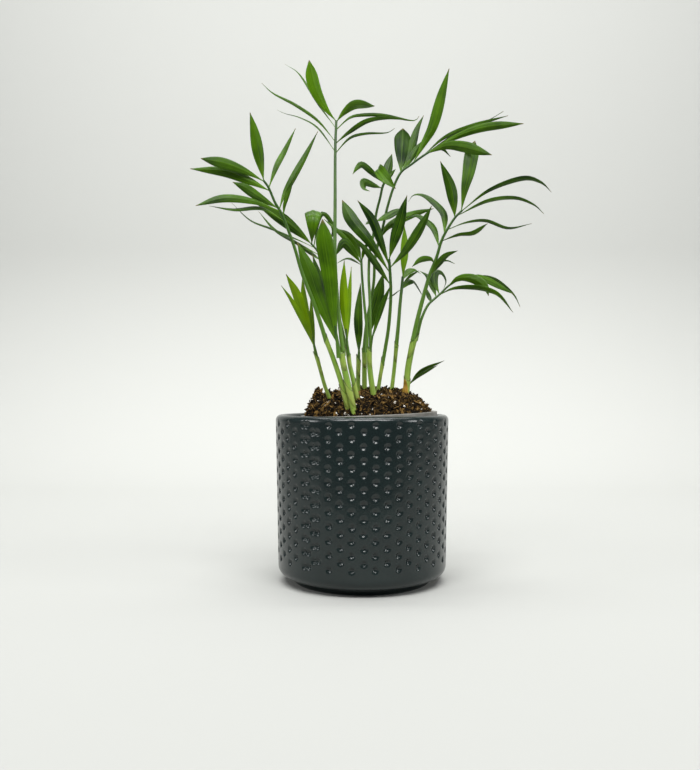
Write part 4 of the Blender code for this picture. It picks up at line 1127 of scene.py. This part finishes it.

# %% [markdown]
# ## Leaves
#
# A leaf is a thin stalk that grows from the top of a cane, with leaflets on both sides of its upper
# part. The table holds each stalk's path and radii, and for each leaflet how far below the end of
# the stalk it starts, its width, the share of its length where it is widest, its roll in degrees,
# where 0 faces the front, and the points that it passes on its way to the tip. A second table gives
# the tone of each blade: 0 is dark, 1 is light, and above 1 it is a fresh one. Only the fresh tones
# stand for age. The others are mostly painted light and shade: they are lighter on blades high in
# the top light and darker on blades in the middle of the plant.

# %% Leaf table
LEAVES = {
    "frond_top": (
        (1.15, 0.65),
        ((-9.9, -28.5, 120), (-11.2, -27.5, 131), (-12.8, -25.5, 146.5), (-14, -24, 168),
         (-14, -20, 198), (-14, -16, 224.5), (-13.5, -14, 240.5)),
        (
            (0, 6.8, 0.73, 10, (-19, -16, 246.5), (-24.3, -18, 256.5), (-27.3, -20, 269.5)),
            (0, 5.0, 0.58, 20, (-9, -16, 244.5), (-3.5, -20, 246.5), (6, -27, 243.5)),
            (3, 2.2, 0.45, 45, (-22, -10, 249.5), (-33, -2, 269), (-41.5, 4, 277)),
            (10, 2.6, 0.45, 45, (-22.5, -20, 238.5), (-33.5, -26, 244.5), (-44.5, -31, 248.5),
             (-50, -34, 252.5)),
            (15, 1.9, 0.45, 45, (-23, -12, 237.5), (-32.5, -7, 244.5), (-41, -3, 248),
             (-45.5, 0, 251)),
            (3, 1.9, 0.45, 30, (-6.5, -11, 243), (0.5, -8, 245.5), (11.5, -6, 246),
             (27, -2, 244.5), (30.5, 0, 247.5)),
            (10, 2.7, 0.42, 30, (-6.9, -20, 232.5), (2, -25, 236.5), (11, -29, 236.7),
             (20, -32, 235)),
            (15, 1.5, 0.40, 40, (-6.5, -12, 232), (2, -7, 236), (13, -2, 238), (17.5, 0, 241)),
        ),
    ),
    "frond_left": (
        (1.1, 0.55),
        ((-18.7, -28, 126.5), (-21, -28.5, 134), (-24.5, -30, 144.5), (-30, -33, 158.5),
         (-34, -35, 172), (-39.5, -37, 186.5), (-43, -38, 192.5), (-46, -39, 199.5),
         (-48.5, -39.5, 203)),
        (
            (0, 5.6, 0.50, 5, (-50.5, -41, 214), (-52.5, -42.5, 225.5), (-54.5, -44, 234.5)),
            (0, 5.4, 0.66, 10, (-56, -44, 206), (-65, -49, 208.5), (-76, -56, 209)),
            (5, 5.2, 0.48, 10, (-55.5, -42, 202.5), (-66, -46, 205.5), (-81.5, -53, 205)),
            (3, 2.9, 0.45, 15, (-42.4, -36, 211), (-38.6, -33, 219.5), (-33.5, -31, 231)),
            (14, 3.4, 0.40, 15, (-38.6, -35, 197.5), (-35.2, -34, 204.5), (-28.6, -31, 217.5),
             (-22.5, -28, 230.5)),
            (18, 2.0, 0.50, 20, (-38.3, -37, 192), (-36, -37, 198.5), (-34.2, -37, 203.5)),
            (13, 5.0, 0.62, 15, (-50.5, -43, 194.5), (-56, -47, 197.5), (-62, -50, 199.5)),
            (14, 4.2, 0.62, 20, (-53, -46, 191.5), (-66, -52, 191.5), (-78, -58, 186.5)),
            (19, 2.8, 0.40, 50, (-49, -42, 189), (-61.5, -48, 187), (-72.5, -53, 187.5)),
        ),
    ),
    "frond_mid_left": (
        (0.8, 0.5),
        ((-8, -21.2, 120.5), (-11, -18.5, 134.5), (-15.5, -16.5, 150.5), (-20, -14.5, 164),
         (-23, -13.5, 172.5), (-26.5, -13, 177)),
        (
            (0, 8.8, 0.60, 0, (-25.8, -17.5, 184), (-25.5, -17, 190), (-25.6, -12.5, 194),
             (-26, -6, 194.8), (-26.5, 0, 190)),
            (0, 6.4, 0.55, 15, (-33, -18, 182.5), (-41.5, -23, 188.5), (-53, -30, 194)),
            (2, 2.0, 0.45, 50, (-33.5, -17, 178.5), (-46, -22, 183), (-56.5, -26, 186.5),
             (-65.5, -29, 194.5)),
            (6, 2.8, 0.42, 45, (-35, -14, 178), (-45.5, -13, 184.5), (-54, -12, 194)),
            (9, 3.0, 0.50, 40, (-28, -11.5, 173.5), (-35, -10, 177.5)),
            (0, 2.6, 0.60, 30, (-23, -9, 189), (-20.5, -7, 194), (-16.9, -6, 190.7),
             (-15.1, -6, 185), (-17.5, -6, 178.5)),
        ),
    ),
    "lobed_leaf": (
        (1.35, 0.45),
        ((-12, -30.2, 119), (-12.4, -30.5, 122.5), (-13.8, -31.2, 133)),
        (
            (9, 8.8, 0.80, 0, (-15.1, -32, 143), (-16.6, -34, 158.5), (-19, -37, 174.5),
             (-19.9, -38, 184.5)),
            (9, 7.4, 0.66, 5, (-22, -27, 147), (-26.3, -25.5, 160), (-30.5, -24.5, 170),
             (-33, -24, 175.5)),
            (9, 6.2, 0.50, 0, (-17, -26.5, 142), (-21.5, -23, 156), (-25.5, -21, 170)),
        ),
    ),
    "young_pair": (
        (0.85, 0.35),
        ((-7.3, -23.9, 120.5), (-7.8, -24.3, 124.5), (-8.4, -24.6, 132)),
        (
            (7, 4.6, 0.50, 0, (-9, -24.5, 140), (-9.6, -26, 153), (-9.3, -27.5, 166)),
            (7, 3.0, 0.45, 25, (-7, -21.5, 142), (-5.7, -19.5, 164)),
        ),
    ),
    "seedling_leaf": (
        (0.95, 0.35),
        ((-23.8, -16.5, 119), (-24.4, -17.5, 122), (-26.2, -19, 130)),
        (
            (7, 4.8, 0.62, 5, (-29, -22, 137), (-33.1, -26, 149), (-38.2, -31, 158.6)),
            (7, 2.8, 0.50, 15, (-29.4, -24, 134.5), (-35, -29.5, 145), (-40.2, -35, 152.4)),
            (7, 3.4, 0.60, 10, (-27.9, -18, 137), (-30, -18, 148.5), (-30.8, -18, 159.3)),
            (7, 2.4, 0.55, 10, (-26, -16.5, 138), (-26.5, -15.5, 149.5)),
        ),
    ),
    "upright_leaf": (
        (0.95, 0.35),
        ((-1.8, 3, 117), (-1.6, 3, 119.5), (-1.6, 3, 127)),
        ((7, 4.8, 0.45, 0, (-1.7, 3, 130), (-1.9, 3, 142), (-0.7, 4.5, 158.7)),),
    ),
    "frond_small": (
        (0.8, 0.6),
        ((2.5, -11.6, 122.5), (2.5, -11, 131), (1, -10, 147), (0, -9, 159.5), (-0.5, -8, 170)),
        (
            (0, 3.0, 0.50, 30, (-6.5, -9.5, 178), (-13, -10.5, 184.5), (-20, -9.5, 190.5)),
            (2, 5.2, 0.60, 10, (-5.5, -11, 174), (-9.5, -14, 177), (-13.5, -17, 170.5)),
            (0, 4.6, 0.60, 20, (-3, -6, 177.5), (-7.5, -6, 183), (-13.5, -6.5, 186)),
            (2, 2.2, 0.50, 40, (-7.5, -4, 171), (-14.5, 0, 168.3)),
            (0, 2.4, 0.50, 30, (1.5, -9, 175), (4, -10, 179.5)),
        ),
    ),
    "frond_curled": (
        (0.8, 0.65),
        ((4.3, -10.3, 122.5), (4.2, -10, 135), (4, -8, 148.5), (3.5, -6, 161), (4, -5, 173),
         (6, -4, 183.5), (7.5, -4, 194.5), (9.5, -5, 202.5), (11, -5.5, 209), (13, -6, 212)),
        (
            (2, 3.9, 0.50, 20, (6.5, -9.5, 214), (0.5, -13, 218), (-2.5, -15, 216),
             (-5, -17, 212)),
            (1, 6.2, 0.55, 15, (9, -7, 215.5), (8.5, -11.5, 216), (12, -16, 210.5),
             (17, -19, 204)),
            (4, 4.6, 0.55, 20, (6.5, -9, 208.5), (1.5, -12, 209.5), (0.8, -14, 205.8),
             (4, -14.5, 203.8)),
            (0, 5.0, 0.50, 10, (14, -3, 219.5), (16, -1, 227)),
            (0, 2.4, 0.50, 30, (15.5, -3, 215.5), (18, -1, 219)),
            (21, 5.0, 0.50, -30, (14.5, -1, 194.8), (19, 0.5, 197.4), (23.5, 2, 198.4)),
            (23, 3.6, 0.50, 30, (4.8, -2, 191), (1.8, -3, 189)),
        ),
    ),
    "frond_tall_right": (
        (0.9, 0.6),
        ((1.2, 8.6, 123.5), (2.5, 8.5, 136.5), (4.5, 8, 147.5), (6.5, 7, 159.5), (7, 6, 170.5),
         (8.5, 5, 179), (11, 4, 187.5), (13.5, 3, 198.5), (17, 3, 210), (21, 2, 218),
         (26.5, 1, 222), (31.5, 0, 225.5), (36.5, -1, 228.5)),
        (
            (19, 9.0, 0.80, 0, (21.4, 4, 225), (21.8, 5, 232), (22.2, 6, 238.5), (22.3, 6, 243)),
            (18, 4.6, 0.45, 0, (25.5, 4.5, 226), (28, 6, 236), (30.3, 7.5, 243.5),
             (33.8, 9, 251)),
            (10, 5.8, 0.56, 5, (33.3, 0.5, 233.4), (38.3, -0.5, 243), (43.2, -2.5, 261),
             (46.2, -4, 271.5)),
            (0, 4.4, 0.68, 15, (49.5, -4, 235), (64.5, -9, 238.7), (83.5, -14, 239)),
            (3, 2.6, 0.55, 30, (44.5, 1, 236.5), (59, 1, 242.5), (78, -1, 247.5)),
            (3, 1.0, 0.50, 30, (52, 3, 240), (68, 4, 246.6), (76.5, 4, 251.5)),
            (0, 5.8, 0.62, 10, (44.3, -7, 229.6), (52.1, -12, 227.6), (58.4, -16, 224.6),
             (66, -20, 221)),
            (0, 1.8, 0.50, 50, (43, 5, 231.5), (48.5, 9, 228.5)),
            (12, 3.6, 0.50, 10, (28.5, 4, 229.5), (33.5, 6, 236.5)),
            (54, 4.6, 0.50, 10, (14, 6.5, 189.5), (22, 8.5, 194.5), (30, 10.5, 198),
             (39.6, 12, 200.8)),
        ),
    ),
    "leaf_behind": (
        (0.75, 0.35),
        ((2.1, 10.9, 123.5), (3.2, 11.6, 128.5), (4.2, 12, 134)),
        ((5, 7.2, 0.55, 0, (5.5, 11.5, 140), (8.7, 12.5, 151.5), (12, 13.5, 165.5)),),
    ),
    "leaf_blade_right": (
        (0.65, 0.35),
        ((4.4, -12.6, 122.5), (5, -13.5, 127), (6, -13.8, 132)),
        ((5, 3.0, 0.58, 10, (7.8, -14, 137), (11, -14.5, 146.5), (14.6, -15, 155)),),
    ),
    "frond_centre": (
        (1.0, 0.75),
        ((11, -3, 115.5), (12.5, -3.5, 124), (14, -5, 134), (15, -6.5, 147), (15, -8, 156),
         (14.5, -9, 164), (14, -10, 169.5)),
        (
            (0, 6.0, 0.50, 5, (16, -12, 176.5), (19.3, -13.5, 187.5), (21.2, -15, 195),
             (23, -16, 201.3)),
            (4, 4.9, 0.55, 5, (22.5, -13, 173.5), (29.5, -16.5, 184), (35.3, -20, 195)),
            (3, 4.9, 0.60, 5, (9.5, -13, 178.5), (5, -16, 189), (-2.5, -19, 198)),
            (6, 6.8, 0.76, 5, (4.1, -14, 177.6), (-5.5, -12, 190), (-10.5, -9, 200.6)),
            (12, 3.9, 0.50, 20, (8.5, -15, 164.5), (2, -19, 172.5), (-5, -24, 179)),
        ),
    ),
    "frond_behind": (
        (1.1, 0.75),
        ((18.5, 0, 125.5), (19.5, 0, 136), (20.5, 1, 147.5), (21.5, 2, 156.5), (22, 2.5, 162)),
        (
            (0, 4.4, 0.50, 0, (23, 3, 175.5), (23, 4, 189.5)),
            (1, 4.8, 0.50, -25, (25, 7, 165.5), (28.5, 10, 167.3), (33, 14, 165)),
            (6, 4.4, 0.50, -15, (25.3, 8, 159.8), (29, 13, 160.8), (34.7, 18, 152.5)),
            (3, 2.2, 0.50, 50, (26, 3, 162), (31, 4, 165.5)),
            (5, 1.8, 0.50, 60, (18, 6, 153.5), (13.5, 11, 150.5)),
        ),
    ),
    "frond_right": (
        (1.3, 0.55),
        ((27.2, -6, 129), (29.5, -6.5, 139.5), (32.5, -6.5, 151), (35.5, -7.5, 161.5),
         (39, -8.5, 170.5), (41.5, -9.5, 179), (44.5, -10.5, 185), (48.5, -11.5, 191),
         (52, -12, 194.5)),
        (
            (5, 5.9, 0.45, 5, (47.3, -12.5, 200), (45.5, -13, 208), (40.4, -14, 219.5)),
            (0, 7.6, 0.80, 5, (53.5, -12.5, 206), (55.5, -12, 214.5), (57, -11, 222.5),
             (59, -9.5, 231.5)),
            (0, 3.0, 0.66, 30, (65, -17, 203.5), (80, -27, 207), (88, -33, 203.5),
             (92.5, -36, 198)),
            (3, 2.6, 0.42, 50, (65.5, -8, 200), (81, -3, 203), (92, 0.5, 200.3), (98, 3, 196)),
            (11, 1.9, 0.50, 45, (55, -5, 189.5), (66.5, 0, 191.5), (79.5, 5, 188.5),
             (93.5, 12, 192.5)),
            (17, 2.8, 0.68, 40, (49.5, -15, 181), (56.5, -20, 181), (63, -25, 185)),
            (13, 4.6, 0.42, 10, (43.5, -4, 194.5), (37.5, 0, 202.7), (32.5, 4, 206.7),
             (27.8, 6, 206.8), (25.3, 8, 203.5)),
            (20, 4.1, 0.50, 15, (38, -5, 186.6), (33.2, -2, 192), (28.9, 0, 194.6),
             (23.2, 2, 193)),
            (35, 3.6, 0.45, 10, (40.5, -11, 167.8), (43.8, -14, 170.9), (49, -17, 172.6)),
            (28, 3.3, 0.52, 20, (36, -11, 169.2), (30.4, -14, 168.4), (25.5, -17, 164.4)),
            (28, 1.0, 0.50, 40, (44, -9, 168.7), (48.5, -9, 167.2)),
        ),
    ),
    "frond_right_low": (
        (0.85, 0.5),
        ((29.2, -3.8, 129), (31.5, -3, 138.5), (35, -1.5, 146), (38.5, -0.5, 149.5),
         (42.5, 0.5, 153), (46, 1, 156.5), (50.5, 2, 159.5)),
        (
            (5, 5.2, 0.66, -15, (50.2, -3, 160), (55.3, -6, 160.3), (60.7, -9, 158),
             (64.5, -11, 154), (65.7, -12, 150)),
            (0, 4.4, 0.62, -10, (61.3, 5, 162.2), (68.4, 9, 161.4), (76, 12, 158.3),
             (84, 14, 154)),
            (0, 2.0, 0.50, 35, (63.4, 8, 162.6), (72.8, 14, 162.4), (80.2, 17, 158.4),
             (85.7, 19, 153.5), (88.8, 20, 147.5)),
            (11, 3.4, 0.55, 25, (48.2, -5, 154.6), (57.4, -10, 154.5), (64.5, -14, 152.8),
             (70.5, -17, 149.3), (76.8, -20, 140.6)),
            (10, 4.8, 0.52, 0, (39.4, 5, 159.6), (40, 8, 165.2), (44, 10, 165.6), (46.6, 12, 161),
             (45, 13, 156.3)),
            (12, 3.6, 0.50, 15, (38, 6, 158.5), (36, 9, 163.5), (32, 12, 166.5)),
            (16, 3.0, 0.50, 20, (36.3, 3, 151.5), (35, 6, 156.5)),
        ),
    ),
    "basal_leaf": (
        (0.55, 0.5),
        ((24, -1, 92), (24, -1, 100), (25.4, -2.5, 104.6)),
        (
            (0, 2.5, 0.50, 25, (31, -6, 110.6), (42.5, -13, 116.2)),
            (0, 2.0, 0.50, 25, (30.5, -3.5, 108.6), (40, -4, 114)),
        ),
    ),
}
print("Leaves:", len(LEAVES), "with", sum(len(parts[2]) for parts in LEAVES.values()), "blades")

# %% Leaves
BLADE_STATIONS = 24
BLADE_BASE_WIDTH = 0.6
BLADE_TIP_WIDTH = 0.3
BLADE_START_STEP = 0.35
STALK_ROOT = 2.0
STALK_STEP = 1.5
STALK_LEAST_STATIONS = 8
STALK_TONE = 0.5
YOUNG_LEAVES = ("young_pair", "seedling_leaf")
# Tones above 1 mark fresh blades. The rest are mostly painted light and shade: lighter for blades
# in the top light, darker for blades in the middle of the plant.
BLADE_AGE_AND_SHADE_TONES = {
    "frond_top": (0.95, 0.75, 0.2, 0.3, 0.1, 0.3, 0.4, 0.2),
    "frond_left": (0.5, 0.4, 0.55, 0.5, 0.35, 0.4, 0.3, 0.35, 0.2),
    "frond_mid_left": (0.5, 0.3, 0.2, 0.25, 0.3, 0.2),
    "lobed_leaf": (0.6, 0.5, 0.15),
    "young_pair": (0.8, 0.5),
    "seedling_leaf": (0.9, 0.6, 0.5, 0.3),
    "upright_leaf": (0.3,),
    "frond_small": (0.3, 0.15, 0.4, 0.2, 0.5),
    "frond_curled": (0.3, 0.7, 0.2, 0.15, 0.3, 0.3, 0.2),
    "frond_tall_right": (-0.1, 0.1, 0.55, 0.7, 0.4, 0.3, 0.45, 0.2, 0.3, 0.5),
    "leaf_behind": (0.1,),
    "leaf_blade_right": (0.3,),
    "frond_centre": (0.1, 0.3, -0.1, 0.2, 0.2),
    "frond_behind": (1.5, 0.6, 0.2, 0.3, 0.2),
    "frond_right": (0.2, 0.35, 0.25, 0.25, 0.1, 0.4, 0.2, 0.2, 0.4, 0.35, 0.2),
    "frond_right_low": (0.5, 0.4, 0.2, 0.35, 0.2, 0.3, 0.2),
    "basal_leaf": (0.05, 0.0),
}


def add_blade(lines, start, width, belly, roll, points, tone):
    path = smooth_path([start, *points], BLADE_STATIONS)
    widths = []
    for i in range(BLADE_STATIONS):
        t = i / (BLADE_STATIONS - 1)
        least = BLADE_BASE_WIDTH + (BLADE_TIP_WIDTH - BLADE_BASE_WIDTH) * t
        widths.append(max(width * blade_width(t, belly), least) / 2)
    lines.add(path, uppers_along(path, roll), widths, tone, False)


def make_leaf(name, radii, stalk, leaflets):
    lines = Paths()
    stations = max(STALK_LEAST_STATIONS, round(path_length(stalk) / STALK_STEP))
    path = smooth_path(rooted(stalk, STALK_ROOT), stations)
    last = len(path) - 1
    widths = [radii[0] + (radii[1] - radii[0]) * i / last for i in range(last + 1)]
    lines.add(path, uppers_along(path, 0), widths, STALK_TONE, True)
    for i, (below, width, belly, roll, *points) in enumerate(leaflets):
        start = point_below_end(stalk, below + (i + 1) * BLADE_START_STEP)
        add_blade(lines, start, width, belly, roll, points, BLADE_AGE_AND_SHADE_TONES[name][i])
    young = name in YOUNG_LEAVES
    leaf = run_tree(
        SWEEP_TREE, name + "_leaflets", lines.mesh(), Thickness=0.09, Fold=0.28, Pleats=9.0,
        PleatDepth=0.02, Blade=YOUNG_SKIN if young else LEAF_SKIN, Stem=STALK_SKIN,
    )
    hand_over(leaf, "young_leaf_green" if young else "leaf_green", name)


for leaf_name, leaf_parts in LEAVES.items():
    make_leaf(leaf_name, *leaf_parts)

# %% [markdown]
# ## Dry sheath
#
# The oldest leaf base of the thickest cane has dried to a golden brown, papery scale that stands
# off the stem. It is a curved shell that narrows upwards. A flat card would be simpler, but it
# would cut into the round cane.

# %% Dry sheath
SHEATH_START = -1.3
SHEATH_HEIGHT = 7.0
SHEATH_HALF_ANGLE = math.radians(44)
SHEATH_FACES = math.radians(245)
SHEATH_LEVELS = 14
SHEATH_STEPS = 16
SHEATH_NARROWING = 0.9
SHEATH_NARROWING_POWER = 1.3
SHEATH_FLARE = 1.2
SHEATH_RIPPLE = 0.15
SHEATH_RIPPLE_TURN = 9
SHEATH_STAND_OFF = 0.4
SHEATH_THICKNESS = 0.25


def make_papery_brown():
    """Dried leaf base: a dull golden brown paper with fibres 0.5 mm apart along the stem."""
    paper, tree = new_material("dried_leaf_base")
    place = add(tree, "ShaderNodeTexCoord").outputs["Object"]
    stretched = add(tree, "ShaderNodeMapping", {"Vector": place, "Scale": (1.0, 1.0, 0.12)})
    fibres = add(tree, "ShaderNodeTexNoise", {"Vector": stretched, "Scale": 2000.0, "Detail": 3.0})
    colour = add(tree, "ShaderNodeMix", {
        "Factor": fibres, "A": linear("#80601c"), "B": linear("#c89c36"),
    }, data_type="RGBA")
    bump = add(tree, "ShaderNodeBump", {"Height": fibres, "Strength": 0.6, "Distance": 0.1 * MM})
    surface = add(tree, "ShaderNodeBsdfPrincipled", {
        "Base Color": colour, "Roughness": 0.7, "Normal": bump,
    })
    add(tree, "ShaderNodeOutputMaterial", {"Surface": surface})
    return paper


def make_sheath():
    bottom, _, *points = CANES["cane_10"]
    foot = Vector(points[0])
    up = (Vector(points[1]) - foot).normalized()
    vertices = []
    for level in range(SHEATH_LEVELS):
        share = level / (SHEATH_LEVELS - 1)
        half = SHEATH_HALF_ANGLE * (1 - SHEATH_NARROWING * share ** SHEATH_NARROWING_POWER)
        flare = SHEATH_FLARE * share ** 2 + SHEATH_RIPPLE * math.sin(SHEATH_RIPPLE_TURN * share)
        inside = bottom + SHEATH_STAND_OFF + flare
        outside = inside + SHEATH_THICKNESS
        centre = foot + up * (SHEATH_START + SHEATH_HEIGHT * share)
        turns = [SHEATH_FACES + half * (2 * k / SHEATH_STEPS - 1) for k in range(SHEATH_STEPS + 1)]
        across = [Vector((math.cos(turn), math.sin(turn), 0)) for turn in turns]
        vertices += [centre + outward * outside for outward in across]
        vertices += [centre + outward * inside for outward in reversed(across)]
    ring = 2 * (SHEATH_STEPS + 1)
    faces = [tuple(reversed(range(ring)))]
    for level in range(SHEATH_LEVELS - 1):
        for k in range(ring):
            low = level * ring
            other = (k + 1) % ring
            faces.append((low + k, low + other, low + ring + other, low + ring + k))
    faces.append(tuple(range(ring * (SHEATH_LEVELS - 1), ring * SHEATH_LEVELS)))
    sheath = new_object("dry_sheath_scale", mesh_of([v * MM for v in vertices], faces=faces))
    sheath.data.materials.append(make_papery_brown())
    sheath.data.shade_smooth()
    sheath.data.set_sharp_from_angle(angle=SHARP_ANGLE)
    hand_over(sheath, "dry_sheath_brown", "dry_sheath")
    print("The dry sheath has", len(faces), "faces")


make_sheath()

# %% [markdown]
# ## Floor, light and camera
#
# A pale sweep of paper stands for the studio: it runs flat under the pot and bends up behind it,
# so no horizon line shows. It ends a little way in front of the pot, because a glazed wall mirrors
# the floor before it, and the glaze only looks dark where it mirrors dark air. A wide soft light
# above and in front gives the sheen on the leaves, and its mirror image is the small glint low in
# each dimple. Two smaller ones at the sides do the same for the dimples that face sideways, and a
# fourth is turned to the paper behind the pot, so that it stays pale. The Standard view transform
# shows the hex colours as they were chosen, where the default one makes strong greens and dark
# glaze paler.

# %% Floor sweep
FLOOR_FRONT = -250
FLOOR_BACK = 700
FLOOR_BEND = 300
FLOOR_TOP = 1500
FLOOR_HALF_WIDTH = 1600


def make_sweep():
    paper, tree = new_material("matt_studio_paper")
    surface = add(tree, "ShaderNodeBsdfPrincipled", {
        "Base Color": linear("#b4b5b1"), "Roughness": 0.9,
    })
    add(tree, "ShaderNodeOutputMaterial", {"Surface": surface})
    bend_start = FLOOR_BACK - FLOOR_BEND
    side = [(FLOOR_FRONT, 0), (bend_start, 0)]
    side += arc((bend_start, FLOOR_BEND), FLOOR_BEND, -90, 0, 16)
    side += [(FLOOR_BACK, FLOOR_TOP)]
    ends = (-FLOOR_HALF_WIDTH, FLOOR_HALF_WIDTH)
    vertices = [Vector((x, y, z)) * MM for y, z in side for x in ends]
    faces = [(2 * i, 2 * i + 1, 2 * i + 3, 2 * i + 2) for i in range(len(side) - 1)]
    sweep = new_object("floor_sweep", mesh_of(vertices, faces=faces))
    sweep.data.materials.append(paper)
    sweep.data.shade_smooth()
    print("The floor starts", -FLOOR_FRONT, "mm in front of the pot's axis")


make_sweep()

# %% Lights
def soft_light(name, place, aim, width, height, power, spread=180):
    lamp = bpy.data.lights.new(name, "AREA")
    lamp.shape = "RECTANGLE"
    lamp.size = width * MM
    lamp.size_y = height * MM
    lamp.energy = power
    lamp.spread = math.radians(spread)
    holder = new_object(name, lamp)
    holder.location = Vector(place) * MM
    holder.rotation_euler = (Vector(aim) - Vector(place)).to_track_quat("-Z", "Y").to_euler()
    print(name, "gives", power, "W")


soft_light("top_light", (0, -420, 700), aim=(0, -20, 120), width=800, height=260, power=7.6)
soft_light("left_light", (-900, -300, 450), aim=(0, 0, 80), width=260, height=300, power=2.2)
soft_light("right_light", (900, -300, 450), aim=(0, 0, 80), width=260, height=300, power=2.2)
soft_light(
    "backdrop_light", (0, 200, 1300), aim=(0, 650, 100), width=1600, height=300, power=9.0,
    spread=100,
)
world = bpy.data.worlds.new("studio_air")
world.use_nodes = True
world.node_tree.nodes["Background"].inputs["Color"].default_value = linear("#dfe3e8")
world.node_tree.nodes["Background"].inputs["Strength"].default_value = 0.22
bpy.context.scene.world = world
bpy.context.scene.view_settings.view_transform = "Standard"

# %% Camera
CAMERA_PLACE = (-6.4, -435.0, 101.0)
lens = bpy.data.cameras.new("camera")
lens.lens = 38.0
lens.sensor_width = 36.0
lens.shift_y = 0.0065
lens.clip_start = 0.01
camera = new_object("camera", lens)
camera.location = Vector(CAMERA_PLACE) * MM
camera.rotation_euler = (math.radians(90), 0, 0)
bpy.context.scene.camera = camera
print("Camera height:", CAMERA_PLACE[2], "mm")
